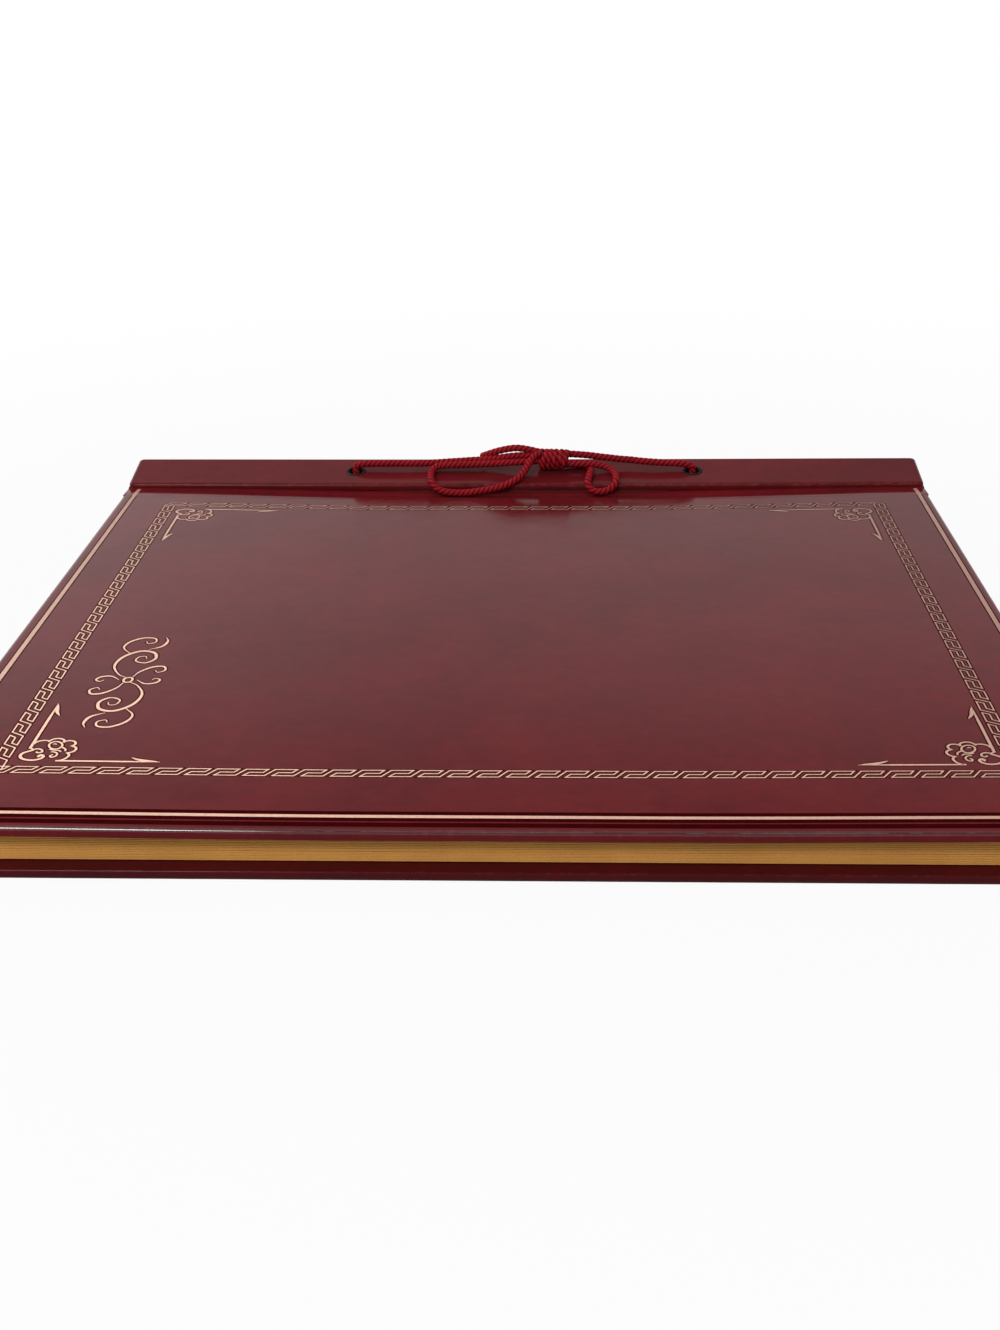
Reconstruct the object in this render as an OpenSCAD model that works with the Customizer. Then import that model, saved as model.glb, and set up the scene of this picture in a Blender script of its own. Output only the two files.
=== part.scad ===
// A string-bound photograph scrapbook lying shut on its back cover.
// +Z is up, +X runs along the head-to-tail length, and the fore edge faces -Y.
// The origin is the middle of the footprint, on the surface that the book lies on.

/* [Covers] */
// Length of the covers from head to tail
album_w = 356; // [300:1:420]
// Depth of a wide cover board from the fore edge to its hinge
board_d = 313.8; // [240:0.1:360]
// Thickness of the grey board inside a cover
board_t = 2.9; // [2:0.1:4]
// Thickness of the leatherette
leather_t = 0.4; // [0.3:0.05:0.6]
// Width of the leatherette turned in over the inner edges
turn_in_w = 14; // [8:1:20]
// Radius of the covers' outer corners
corner_r = 1.5; // [1:0.1:4]
// Thickness of the lining paper and of the inner hinge cloth
lining_t = 0.3; // [0.2:0.05:0.4]
// Distance that the lining paper stays back from the cover's edges
lining_inset = 7; // [2:0.5:8]
// Depth of hinge cloth glued to the inside of a wide board
cloth_lap = 20; // [12:1:30]

/* [Hinge] */
// Width of the flexible groove from the hinge line to the binding strip
groove_w = 7; // [7:0.1:10]
// Distance from the hinge line to the wide board's rear edge
board_set = 1.7; // [1.2:0.1:3]
// Free gap in the binding side's groove cloth beside the hinge line
hinge_gap = 0.9; // [0.8:0.05:1.2]

/* [Binding strip] */
// Depth of the binding strips
strip_d = 26.5; // [22:0.5:34]
// Slope of the binding strips, raised by the cord that runs under them
strip_tilt = 10; // [8:0.5:12]
// Distance between the two lacing holes
hole_pitch = 152.4; // [100:0.1:200]
// Radius of the lacing holes through the boards and the guards
hole_r = 3.6; // [3.2:0.1:4.4]
// Wall of the eyelets
eyelet_wall = 0.4; // [0.3:0.05:0.6]
// Width of the eyelets' flange beyond the hole
eyelet_rim = 1; // [0.6:0.1:1.6]
// Thickness of the eyelets' flange
eyelet_flange_t = 0.25; // [0.2:0.01:0.3]

/* [Leaves] */
// Number of leaves
leaf_count = 18; // [12:1:20]
// Thickness of one leaf
leaf_t = 0.3; // [0.24:0.02:0.32]
// Height that one leaf takes up in the shut book
leaf_pitch = 0.54; // [0.49:0.01:0.56]
// Height that one doubled guard takes up under the strip
guard_pitch = 0.67; // [0.64:0.01:0.68]
// Distance that the covers overhang the leaves at head and tail
leaf_inset = 5; // [3:0.5:9]
// Distance that the covers overhang the leaves at the fore edge
leaf_set_back = 5.6; // [3:0.2:9]
// Distance from the hinge line to the uppermost leaf's crease
crease_set = 5; // [4.6:0.1:8]

/* [Cord] */
// Diameter of the lacing cord
cord_d = 3.2; // [2.4:0.1:3.2]
// Length of the knot's straight middle
knot_mid = 5; // [3:0.5:7]
// Radius of the knot
knot_r = 4.4; // [3.6:0.1:4.6]

/* [Hidden] */
$fn = 48;
slit = 0.1;
cut = 5;

cover_t = leather_t + board_t + lining_t;
guard_t = 2 * leaf_t;
guards_t = leaf_count * guard_pitch;
leaves_t = leaf_count * leaf_pitch;
album_t = 2 * cover_t + leaves_t;

// The lacing side's own frame: s runs up the slope to the spine, h is square to it, and
// both start at the lower guard's front edge.
cord_bed = cover_t + eyelet_flange_t + cord_d + slit;
guard_z = cord_bed * cos(strip_tilt) - strip_d / 2 * sin(strip_tilt);
foot_s = board_d + board_set + groove_w;
strip_reach = strip_d * cos(strip_tilt) + (cover_t + guards_t) * sin(strip_tilt);
fore_y = -(foot_s + strip_reach) / 2;
foot_y = fore_y + foot_s;
guard_y = foot_y + guards_t * sin(strip_tilt);
hinge_y = foot_y - groove_w;
board_y = hinge_y - board_set;
strip_h = guards_t + cover_t;

leaf_front = fore_y + leaf_set_back;
leaf_w = album_w - 2 * leaf_inset;
hole_s = strip_d / 2;
eyelet_r = hole_r - eyelet_wall;

// Middle height and crease of leaf i, counted upwards from 0
function leaf_z(i) = cover_t + (i + 0.5) * leaf_pitch;
function crease_y(i) = hinge_y - crease_set - (leaf_count - 1 - i) * leaf_pitch;

// A point of the lacing side's frame as the book's Y and Z
function sloped(s, h) = [
    guard_y + s * cos(strip_tilt) - h * sin(strip_tilt),
    guard_z + s * sin(strip_tilt) + h * cos(strip_tilt)
];

// A point over the front strip: x along it, s up its slope, h above its leatherette. The
// bow's routes are drawn for these three sizes and follow the ones that are set.
drawn_pitch = 152.4;
drawn_strip = 26.5;
drawn_cord = 3.2;
function over_strip(p) =
    let (yz = sloped(p[1] * strip_d / drawn_strip, p[2] * cord_d / drawn_cord + strip_h))
    [p[0] * hole_pitch / drawn_pitch, yz[0], yz[1]];

// Routes of the lacing cord over the front strip
left_run = [
    [-76.2, 13.25, -2.2], [-76.2, 13.25, -0.6], [-75.4, 13.5, 1.6], [-73.4, 14.2, 2.9],
    [-70, 15.2, 3.2], [-63, 17, 3.1], [-54, 18.9, 2.8], [-44, 20.4, 2.6], [-32, 21.6, 2.4],
    [-20, 22, 2.2], [-9, 21.6, 2.3], [0, 20.2, 2.6], [5.6, 18.2, 3], [8.5, 16.9, 3.2]
];
right_run = [
    [16.2, 16.6, 7.2], [20, 17.2, 7.7], [26, 18.2, 8], [34, 18.6, 7.4], [43, 18.6, 6.1],
    [53, 18.4, 4.7], [63, 17.2, 3.7], [70, 15.4, 3.2], [73.4, 14.2, 2.9], [75.4, 13.5, 1.6],
    [76.2, 13.25, -0.6], [76.2, 13.25, -2.2]
];
left_loop = [
    [8.5, 15.2, 6.6], [5, 15.5, 6.6], [-1.6, 16, 5.8], [-9, 16.2, 4.9], [-19.7, 16.6, 3.8],
    [-28, 16.8, 3], [-35.5, 14.8, 2.6], [-40.4, 10.8, 2.4], [-42.4, 5.6, 2.1], [-41.2, 0.4, 1.9],
    [-39.4, -1.2, 1.2], [-36.4, -2, -0.3], [-27.5, -2, -0.9], [-18, -2, -0.4], [-13.4, -1.2, 1.2],
    [-9.5, 0.4, 1.9], [-2.5, 4.4, 3], [3, 8.6, 4.2], [6, 10.9, 4.6], [8.5, 12, 4.6]
];
right_loop = [
    [16.8, 13.6, 5.4], [20, 13.5, 5.6], [27, 13.8, 5.1], [34, 13.2, 4.2], [40, 10.4, 3.2],
    [42.8, 5.6, 2.2], [41.6, 0.6, 1.9], [38.8, -1.2, 1.2], [35.6, -2, -0.5], [32.4, -1.2, 1.2],
    [30, 0.8, 1.9], [28, 5, 1.9], [25.8, 8.6, 1.9], [21.6, 12, 1.9], [16.8, 14.6, 2]
];
bow_tail = [
    [12.5, 16.5, 8], [8.5, 17.6, 10], [2.5, 18, 10.8], [-4, 18.2, 10.4], [-10.6, 18.8, 9.2],
    [-16, 19.4, 7.4], [-20.6, 19.8, 5.6]
];

// The lacing cord's run through the holes and beneath the back strip, h from the lower guard
lace_h = -(cover_t + eyelet_flange_t + cord_d / 2 + slit / 2);
lace_half = hole_pitch / 2;
lace_top = strip_h - 2.2 * cord_d / drawn_cord;
lace_bend = 3;
bend_mid = lace_bend * (1 - cos(45));
back_run = [
    [-lace_half, lace_top], [-lace_half, lace_h + 2 * lace_bend], [-lace_half, lace_h + lace_bend],
    [-lace_half + bend_mid, lace_h + bend_mid], [-lace_half + lace_bend, lace_h],
    [-lace_half / 2, lace_h], [0, lace_h], [lace_half / 2, lace_h], [lace_half - lace_bend, lace_h],
    [lace_half - bend_mid, lace_h + bend_mid], [lace_half, lace_h + lace_bend],
    [lace_half, lace_h + 2 * lace_bend], [lace_half, lace_top]
];

// Swept cord: a ring of points square to the route at each of its points
function unit(v) = v / norm(v);
function heading(p, i) = unit(p[min(i + 1, len(p) - 1)] - p[max(i - 1, 0)]);
function carried(side, along) = unit(side - (side * along) * along);
function sides_along(p, i, side) =
    i == len(p) ? [] : let (now = carried(side, heading(p, i))) concat([now], sides_along(p, i + 1, now));
function first_side(p) =
    let (along = heading(p, 0)) unit(cross(along, abs(along[2]) < 0.9 ? [0, 0, 1] : [0, 1, 0]));

module cord(route, r, sides = 8) {
    side = sides_along(route, 0, first_side(route));
    last = len(route) - 1;
    points = [
        for (i = [0:last], k = [0:sides - 1])
            let (up = cross(heading(route, i), side[i]), a = 360 * k / sides)
            route[i] + r * cos(a) * side[i] + r * sin(a) * up
    ];
    walls = [
        for (i = [0:last - 1], k = [0:sides - 1])
            let (n = (k + 1) % sides)
            each [
                [i * sides + k, (i + 1) * sides + k, (i + 1) * sides + n],
                [i * sides + k, (i + 1) * sides + n, i * sides + n]
            ]
    ];
    near_end = [for (k = [0:sides - 1]) k];
    far_end = [for (k = [sides - 1:-1:0]) last * sides + k];
    polyhedron(points, concat(walls, [near_end, far_end]));
}

function route_over_strip(route) = [for (p = route) over_strip(p)];

// Plain helpers
module block(x, y0, y1, z0, z1) {
    translate([-x / 2, y0, z0]) cube([x, y1 - y0, z1 - z0]);
}

// A slab with its corners rounded by r0 at y0 and by r1 at y1
module rounded_block(x, y0, y1, z0, z1, r0, r1) {
    middle = (y0 + y1) / 2;
    translate([0, 0, z0]) linear_extrude(z1 - z0) {
        for (side = [-1, 1]) {
            if (r0 > 0) translate([side * (x / 2 - r0), y0 + r0]) circle(r0);
            if (r1 > 0) translate([side * (x / 2 - r1), y1 - r1]) circle(r1);
        }
        translate([-x / 2, y0 + r0]) square([x, y1 - y0 - r0 - r1]);
        translate([-x / 2 + r0, y0]) square([x - 2 * r0, middle - y0]);
        translate([-x / 2 + r1, middle]) square([x - 2 * r1, y1 - middle]);
    }
}

// A shape in the lacing side's frame, with x across, s as Y and h as Z
module on_slope() {
    translate([0, guard_y, guard_z]) rotate([strip_tilt, 0, 0]) children();
}

// An outline of Y and Z points drawn out to the width x
module drawn_out(x, outline) {
    translate([-x / 2, 0, 0]) rotate([90, 0, 90]) linear_extrude(x) polygon(outline);
}

module both_holes() {
    for (side = [-1, 1]) translate([side * hole_pitch / 2, hole_s, 0]) children();
}

// Wide covers, drawn as the back one: the outer face at z = 0
module wide_board() {
    board_w = album_w - 2 * leather_t;
    front = fore_y + leather_t;
    inner = leather_t + board_t;
    difference() {
        rounded_block(board_w, front, board_y, leather_t, inner, corner_r - leather_t, 0);
        difference() {
            block(album_w, fore_y - cut, board_y + cut, inner - leather_t, cover_t);
            block(album_w - 2 * turn_in_w, fore_y + turn_in_w, board_y + 2 * cut, 0, cover_t + cut);
        }
    }
}

module wide_leatherette() {
    difference() {
        rounded_block(album_w, fore_y, hinge_y, 0, leather_t + board_t, corner_r, 0);
        wide_board();
        block(album_w + cut, board_y, hinge_y + cut, leather_t, cover_t);
    }
}

// Inner hinge cloth: over the groove, down the board's rear edge and onto its inner face
module wide_hinge_cloth() {
    inner = leather_t + board_t;
    rise = lining_t;
    drawn_out(album_w - 2 * lining_inset, [
        [hinge_y, leather_t], [hinge_y, leather_t + rise], [board_y + rise, leather_t + rise],
        [board_y + rise, inner + rise], [board_y - cloth_lap, inner + rise], [board_y - cloth_lap, inner],
        [board_y, inner], [board_y, leather_t]
    ]);
}

module wide_lining() {
    inner = leather_t + board_t;
    block(album_w - 2 * lining_inset, fore_y + lining_inset, board_y - cloth_lap, inner, inner + lining_t);
}

// The front cover is the back one turned over onto the leaves
module as_front() {
    translate([0, 0, album_t]) mirror([0, 0, 1]) children();
}

// Binding strips, drawn as the front one on its slope
module strip_core(inner) {
    core_r = corner_r - leather_t;
    core_w = album_w - 2 * leather_t;
    rounded_block(core_w, leather_t, strip_d - leather_t, inner, inner + board_t, core_r, core_r);
}

module strip_board() {
    inner = guards_t + lining_t;
    difference() {
        strip_core(inner);
        both_holes() cylinder(r = hole_r, h = strip_h + cut);
    }
}

module strip_leatherette() {
    inner = guards_t + lining_t;
    difference() {
        rounded_block(album_w, 0, strip_d, inner, strip_h, corner_r, corner_r);
        strip_core(inner);
        both_holes() cylinder(r = hole_r, h = strip_h + cut);
    }
}

// Eyelet: a barrel through the strip with a flat flange on the leatherette
module eyelet() {
    rotate_extrude() {
        translate([eyelet_r, guards_t]) square([eyelet_wall, cover_t]);
        translate([eyelet_r, strip_h]) square([eyelet_wall + eyelet_rim, eyelet_flange_t]);
    }
}

module as_back_strip() {
    translate([0, 0, guards_t]) mirror([0, 0, 1]) children();
}

// Sub-parts of the front cover
module front_board() {
    color("tan") as_front() wide_board();
}

module front_leatherette() {
    color("maroon") as_front() wide_leatherette();
}

module front_lining() {
    color("cornsilk") as_front() wide_lining();
}

module front_hinge_cloth() {
    color("dimgray") as_front() wide_hinge_cloth();
}

// Sub-parts of the back cover
module back_board() {
    color("tan") wide_board();
}

module back_leatherette() {
    color("maroon") wide_leatherette();
}

module back_lining() {
    color("cornsilk") wide_lining();
}

module back_hinge_cloth() {
    color("dimgray") wide_hinge_cloth();
}

// Sub-parts of the lacing side
module front_strip_board() {
    color("tan") on_slope() strip_board();
}

module front_strip_leatherette() {
    groove_end = hinge_y + hinge_gap;
    inner = guards_t + lining_t;
    color("maroon") {
        on_slope() strip_leatherette();
        drawn_out(album_w, [
            [groove_end, album_t], [groove_end, album_t - leather_t],
            sloped(leather_t, inner), sloped(0, inner + leather_t)
        ]);
    }
}

module front_strip_lining() {
    groove_end = hinge_y + hinge_gap;
    low = album_t - leather_t;
    inner = guards_t + lining_t;
    rear_s = strip_d - lining_inset;
    color("dimgray") difference() {
        drawn_out(album_w - 2 * lining_inset, [
            [groove_end, low], [groove_end, low - lining_t], sloped(0, guards_t),
            sloped(rear_s, guards_t), sloped(rear_s, inner), sloped(0, inner)
        ]);
        on_slope() both_holes() cylinder(r = hole_r, h = strip_h + cut);
    }
}

module back_strip_board() {
    color("tan") on_slope() as_back_strip() strip_board();
}

module back_strip_leatherette() {
    groove_end = hinge_y + hinge_gap;
    color("maroon") {
        on_slope() as_back_strip() strip_leatherette();
        drawn_out(album_w, [
            [groove_end, 0], sloped(0, -cover_t), sloped(0, leather_t - cover_t), [groove_end, leather_t]
        ]);
    }
}

module back_strip_lining() {
    lining_w = album_w - 2 * lining_inset;
    color("dimgray") on_slope() as_back_strip() difference() {
        block(lining_w, 0, strip_d - lining_inset, guards_t, guards_t + lining_t);
        both_holes() cylinder(r = hole_r, h = strip_h + cut);
    }
}

// Guards: each leaf's binding edge, folded double under the strip, with the single tongue
// of paper that leads out level past the wide boards to the leaf's crease
module leaf_guards() {
    lead = 0.5;
    tail = 1;
    level_y = board_y + lining_t + slit;
    color("wheat") difference() {
        for (i = [0:leaf_count - 1]) {
            low = i * guard_pitch;
            start_y = crease_y(i) + leaf_t / 2 + slit;
            under = leaf_z(i) - leaf_t / 2;
            drawn_out(leaf_w, [
                [start_y, under], [level_y, under], sloped(lead, low), sloped(strip_d - tail, low),
                sloped(strip_d - tail, low + guard_t), sloped(lead, low + guard_t),
                sloped(lead, low + leaf_t), [level_y, under + leaf_t], [start_y, under + leaf_t]
            ]);
        }
        on_slope() both_holes() translate([0, 0, -cut]) cylinder(r = hole_r, h = guards_t + 2 * cut);
    }
}

module front_eyelets() {
    color("dimgray") on_slope() both_holes() eyelet();
}

module back_eyelets() {
    color("dimgray") on_slope() as_back_strip() both_holes() eyelet();
}

// A leaf, from its crease to the fore edge
module leaf(i) {
    color("burlywood")
        block(leaf_w, leaf_front, crease_y(i), leaf_z(i) - leaf_t / 2, leaf_z(i) + leaf_t / 2);
}

// The lacing cord, in its stretches
module cord_back_run() {
    route = [for (p = back_run) [p[0], sloped(hole_s, p[1])[0], sloped(hole_s, p[1])[1]]];
    color("crimson") cord(route, cord_d / 2);
}

module cord_left_run() {
    color("crimson") cord(route_over_strip(left_run), cord_d / 2);
}

module cord_right_run() {
    color("crimson") cord(route_over_strip(right_run), cord_d / 2);
}

module bow_left_loop() {
    color("crimson") cord(route_over_strip(left_loop), cord_d / 2);
}

module bow_right_loop() {
    color("crimson") cord(route_over_strip(right_loop), cord_d / 2);
}

module bow_tail_end() {
    color("crimson") cord(route_over_strip(bow_tail), cord_d / 2);
}

module bow_knot() {
    knot_lift = (knot_r + 2 * slit) * drawn_cord / cord_d;
    color("crimson")
        translate(over_strip([12.5, 15, knot_lift]))
        rotate([0, 90, 0]) {
            cylinder(r = knot_r, h = knot_mid, center = true);
            for (end = [-1, 1]) translate([0, 0, end * knot_mid / 2]) sphere(knot_r);
        }
}

function leaf_name(i) = str("leaf_", i < 9 ? "0" : "", i + 1);

front_board();
front_leatherette();
front_lining();
front_hinge_cloth();
back_board();
back_leatherette();
back_lining();
back_hinge_cloth();
front_strip_board();
front_strip_leatherette();
front_strip_lining();
back_strip_board();
back_strip_leatherette();
back_strip_lining();
leaf_guards();
front_eyelets();
back_eyelets();
cord_back_run();
cord_left_run();
cord_right_run();
bow_knot();
bow_left_loop();
bow_right_loop();
bow_tail_end();
for (i = [0:leaf_count - 1]) leaf(i);
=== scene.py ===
"""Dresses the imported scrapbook: leatherette covers, gilt tooling, leaves and a laced cord."""

import math
import random

import bmesh
import bpy
from bpy.props import FloatProperty, FloatVectorProperty, IntProperty, PointerProperty
from mathutils import Matrix, Vector, noise


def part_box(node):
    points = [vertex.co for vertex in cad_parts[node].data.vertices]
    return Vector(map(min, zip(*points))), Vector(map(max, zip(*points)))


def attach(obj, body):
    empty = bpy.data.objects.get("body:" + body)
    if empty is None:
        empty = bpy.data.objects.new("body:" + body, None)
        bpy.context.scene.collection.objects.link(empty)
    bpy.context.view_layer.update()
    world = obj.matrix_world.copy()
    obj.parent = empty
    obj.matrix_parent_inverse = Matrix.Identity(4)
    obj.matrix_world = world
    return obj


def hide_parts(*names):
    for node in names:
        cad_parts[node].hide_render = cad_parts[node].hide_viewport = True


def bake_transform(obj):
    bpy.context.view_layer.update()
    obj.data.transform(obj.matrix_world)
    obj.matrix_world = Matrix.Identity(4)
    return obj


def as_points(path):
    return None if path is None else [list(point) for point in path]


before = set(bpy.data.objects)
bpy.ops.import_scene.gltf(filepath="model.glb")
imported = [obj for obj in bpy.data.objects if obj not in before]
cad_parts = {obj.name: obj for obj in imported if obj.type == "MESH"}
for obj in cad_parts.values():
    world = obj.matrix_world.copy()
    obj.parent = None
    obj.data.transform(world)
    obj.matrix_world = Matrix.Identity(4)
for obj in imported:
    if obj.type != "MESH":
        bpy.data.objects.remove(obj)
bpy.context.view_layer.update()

bl_info = {
    "name": "Photograph scrapbook",
    "version": (1, 0, 0),
    "blender": (4, 5, 0),
    "location": "3D View > Sidebar > Scrapbook",
    "description": "Builds a string-bound photograph scrapbook's looks round its solid model",
    "category": "Object",
}

MM = 0.001

# Sizes of the shut book, from the solid model
COVER_LOW, COVER_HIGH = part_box("front_leatherette")
HALF_W = COVER_HIGH.x
FORE_Y = COVER_LOW.y
HINGE_Y = COVER_HIGH.y
ALBUM_T = COVER_HIGH.z
BOARD_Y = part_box("front_board")[1].y
COVER_T = ALBUM_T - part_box("front_lining")[0].z
LEATHER_T = 0.4 * MM
LINING_T = 0.3 * MM
SKIN_T = COVER_T - LINING_T
LINING_INSET = 7 * MM
LINING_CORNER = 0.5 * MM
TURN_IN = 14 * MM
STRIP_TURN_IN = 8 * MM
CLOTH_LAP = 20 * MM
BOARD_D, BOARD_SET, GROOVE_W = 313.8 * MM, 1.7 * MM, 7 * MM
LEAF_COUNT = 18

# Keeps faces that touch from lying in one another
FACE_GAP = 0.02 * MM

HOLE_X = 76.2 * MM
HOLE_R = 3.6 * MM
EYELET_R = 3.2 * MM
EYELET_RIM = 4.6 * MM
EYELET_FLANGE = 0.25 * MM
CORD_D = 3.2 * MM
CORD_PLAY = 0.1 * MM

# The lacing side's own frame, as in the part's source: s runs up the slope to the spine and
# h stands square to it. The book's footprint is centred on the origin, and the strips' slope
# leaves room for the cord beneath them.
TILT = math.radians(10)
GUARDS_T = 12.06 * MM
STRIP_D = 26.5 * MM
STRIP_H = GUARDS_T + COVER_T
HOLE_S = STRIP_D / 2
FOOT_S = BOARD_D + BOARD_SET + GROOVE_W
STRIP_REACH = STRIP_D * math.cos(TILT) + STRIP_H * math.sin(TILT)
CORD_BED = COVER_T + EYELET_FLANGE + CORD_D + CORD_PLAY
FOOT_Y = round((FOOT_S - STRIP_REACH) / 2, 7)
GUARD_Y = round(FOOT_Y + GUARDS_T * math.sin(TILT), 7)
GUARD_Z = round(CORD_BED * math.cos(TILT) - HOLE_S * math.sin(TILT), 7)

# Over the grooves: where the leatherette and the fillet's ends start, and where the front valley
# falls and is lowest, at its ends and its middle
SKIN_FROM = BOARD_Y - 3 * MM
VALLEY_FROM = BOARD_Y - 0.9 * MM
VALLEY_END_Y = FOOT_Y - 1.4 * MM
VALLEY_MID_Y = HINGE_Y + 2.6 * MM

# Seed of the leaves' small differences
LEAF_SEED = 11

# The cord's stretches in millimetres, as the photograph shows them: x, s, and h above the
# front strip's leatherette
LEFT_RUN = [
    (-76.2, 14.3, -2.2), (-76.3, 14.6, 0), (-75.8, 14.9, 1.9), (-72.2, 14.9, 2.9),
    (-65.4, 14.9, 3.1), (-56.3, 14.9, 3.2), (-47.2, 15.1, 3.1), (-42.6, 15.5, 3.1),
    (-38.1, 16, 3.1), (-33.6, 16.3, 3.3), (-29.0, 16.7, 3.4), (-24.5, 17, 3.6),
    (-20.0, 17.1, 3.8), (-15.4, 17.2, 4.2), (-10.9, 17.2, 4.8), (-6.3, 17, 5.6),
    (-1.7, 16.8, 6.1), (2.8, 16.2, 6.4), (7.3, 15.7, 6.8), (10, 15.6, 6.8)]
RIGHT_RUN = [
    (15, 16.4, 7.2), (18.6, 16.8, 7.0), (21.8, 17.2, 6.6), (25.4, 17.5, 6.2), (30.0, 17.6, 5.7),
    (34.5, 17.5, 5.1), (39.0, 17.4, 4.6), (43.5, 17.2, 4.1), (48.1, 16.8, 3.9), (52.5, 16, 3.7),
    (57.0, 15.3, 3.6), (61.5, 15, 3.4), (66.0, 14.9, 3.2), (70.6, 14.8, 3.0), (73.3, 14.8, 2.4),
    (75.8, 14.8, 1.4), (76.3, 14.6, 0), (76.2, 14.3, -2.2)]
LEFT_LOOP = [
    (8.6, 14.3, 4.7), (4.2, 14, 4.6), (0.6, 13.9, 4.5), (-4.0, 13.8, 4.2), (-10.8, 13.8, 3.7),
    (-17.6, 13.7, 3.4), (-24.4, 13.6, 3.2), (-31.1, 13.1, 3.2), (-35.7, 12.9, 3.2),
    (-38.4, 12.6, 3.0), (-40.6, 11.2, 2.8), (-41.7, 8.8, 2.0), (-41.7, 5.2, 1.7),
    (-41.2, 0.5, 1.6), (-39.6, -2, -0.1), (-37.1, -3.3, -1.4), (-32.6, -4, -2.0),
    (-28.2, -4.1, -2.1), (-23.7, -4.1, -1.9), (-19.2, -3.7, -1.3), (-14.8, -3, -0.9),
    (-10.3, -2.2, -0.1), (-8.1, -1.5, 0.3), (-5.9, -0.6, 0.9), (-3.7, 0.6, 1.7),
    (-1.5, 2.5, 2.4), (0, 4.5, 3.3), (1.1, 7, 4.3), (2.2, 9.5, 5.1), (3.3, 12, 6.1),
    (4.7, 13.8, 7.2), (6.5, 14.8, 8.2), (8.7, 15, 8.4)]
RIGHT_LOOP = [
    (15.5, 13.8, 3.8), (18.6, 13.4, 3.8), (21.8, 13.1, 3.9), (25.4, 13, 3.9), (29.0, 13, 3.7),
    (32.6, 13, 3.4), (35.8, 12.5, 3.0), (38.5, 11.2, 2.4), (40.5, 9, 1.8), (41.5, 5.1, 1.7),
    (41.6, 0.5, 1.6), (40.5, -1.9, 0.0), (38.2, -3.2, -1.1), (35.1, -3.8, -1.8),
    (32.9, -3.8, -1.9), (30.7, -3.2, -1.4), (29.1, -2, -0.4), (28.7, -0.6, 1.1), (29.1, 2.6, 1.8),
    (29.9, 7, 2.0), (30.5, 10.6, 1.7), (29.6, 13.9, 1.6), (26, 16.4, 1.7), (21, 16.4, 1.9),
    (17, 15.4, 2.4)]
BOW_TAIL = [
    (12, 16.6, 7.2), (9.6, 16.8, 7.4), (6.4, 17, 7.9), (2.8, 17.3, 8.7), (-2.2, 17.8, 9.3),
    (-6.3, 18.2, 8.9), (-10.8, 18.5, 7.8), (-14.5, 18.8, 6.5), (-17.3, 19.6, 5.1),
    (-20.0, 19.9, 4.2)]
LACE_TOP = -2.2
LACE_H = -21.16
LACE_DOWN = ((14.3, LACE_TOP), (13.7, -8), (13.25, -14.6), (13.25, LACE_H + 3))
BACK_RUN = (
    [(-76.2, s, h) for s, h in LACE_DOWN]
    + [(-75.3, 13.25, LACE_H + 0.9), (-73.2, 13.25, LACE_H + 0.12)]
    + [(x, 13.25, LACE_H) for x in (-70, -55, -38.1, -19, 0, 19, 38.1, 55, 70)]
    + [(73.2, 13.25, LACE_H + 0.12), (75.3, 13.25, LACE_H + 0.9)]
    + [(76.2, s, h) for s, h in LACE_DOWN[::-1]])


# Small helpers

def within(value):
    """The value, held between 0 and 1."""
    return min(1.0, max(0.0, value))


def smooth(low, high, value):
    """0 below low, 1 above high, and an even curve between them."""
    t = within((value - low) / (high - low))
    return t * t * (3 - 2 * t)


def on_slope(x, s, h):
    """A point of the lacing side's frame in the book's own frame."""
    return Vector((
        x,
        GUARD_Y + s * math.cos(TILT) - h * math.sin(TILT),
        GUARD_Z + s * math.sin(TILT) + h * math.cos(TILT)))


def through(points, step):
    """Points a step apart along a smooth curve through the given ones."""
    points = [Vector(p) for p in points]
    padded = [2 * points[0] - points[1]] + points + [2 * points[-1] - points[-2]]
    made = []
    for a, b, c, d in zip(padded, padded[1:], padded[2:], padded[3:]):
        count = max(1, round((c - b).length / step))
        for k in range(count):
            t = k / count
            made.append(0.5 * (
                2 * b + (c - a) * t + (2 * a - 5 * b + 4 * c - d) * t * t
                + (3 * b - a - 3 * c + d) * t ** 3))
    return made + [points[-1]]


def length_of(points):
    """Length of a path of points."""
    return sum((b - a).length for a, b in zip(points, points[1:]))


def make_piece(name, points, faces, material, sharp=35, wear=None):
    """A mesh object that remembers where each point of it is at rest."""
    mesh = bpy.data.meshes.new(name)
    mesh.from_pydata([tuple(p) for p in points], [], faces)
    mesh.validate()
    shape = bmesh.new()
    shape.from_mesh(mesh)
    bmesh.ops.recalc_face_normals(shape, faces=shape.faces)
    shape.to_mesh(mesh)
    shape.free()
    place = mesh.attributes.new("rest_place", "FLOAT_VECTOR", "POINT")
    place.data.foreach_set("vector", [c for v in mesh.vertices for c in v.co])
    if wear is not None:
        mesh.attributes.new("edge_wear", "FLOAT", "POINT").data.foreach_set("value", wear)
    mesh.shade_smooth()
    mesh.set_sharp_from_angle(angle=math.radians(sharp))
    mesh.materials.append(material)
    piece = bpy.data.objects.new(name, mesh)
    bpy.context.scene.collection.objects.link(piece)
    return piece


def settle(piece, body, slot, *replaced):
    """Lets a finished piece move with its body and stand for its solids."""
    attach(piece, body)
    if replaced:
        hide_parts(*replaced)
    return piece


# The covers' gentle warp: head and tail stand up a little, most of all at the groove

def toward_ends(x):
    """Share of the warp at x: a little below 0 in the middle and most at head and tail."""
    return smooth(0.2, 1.05, abs(x) / HALF_W) - 0.25


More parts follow.
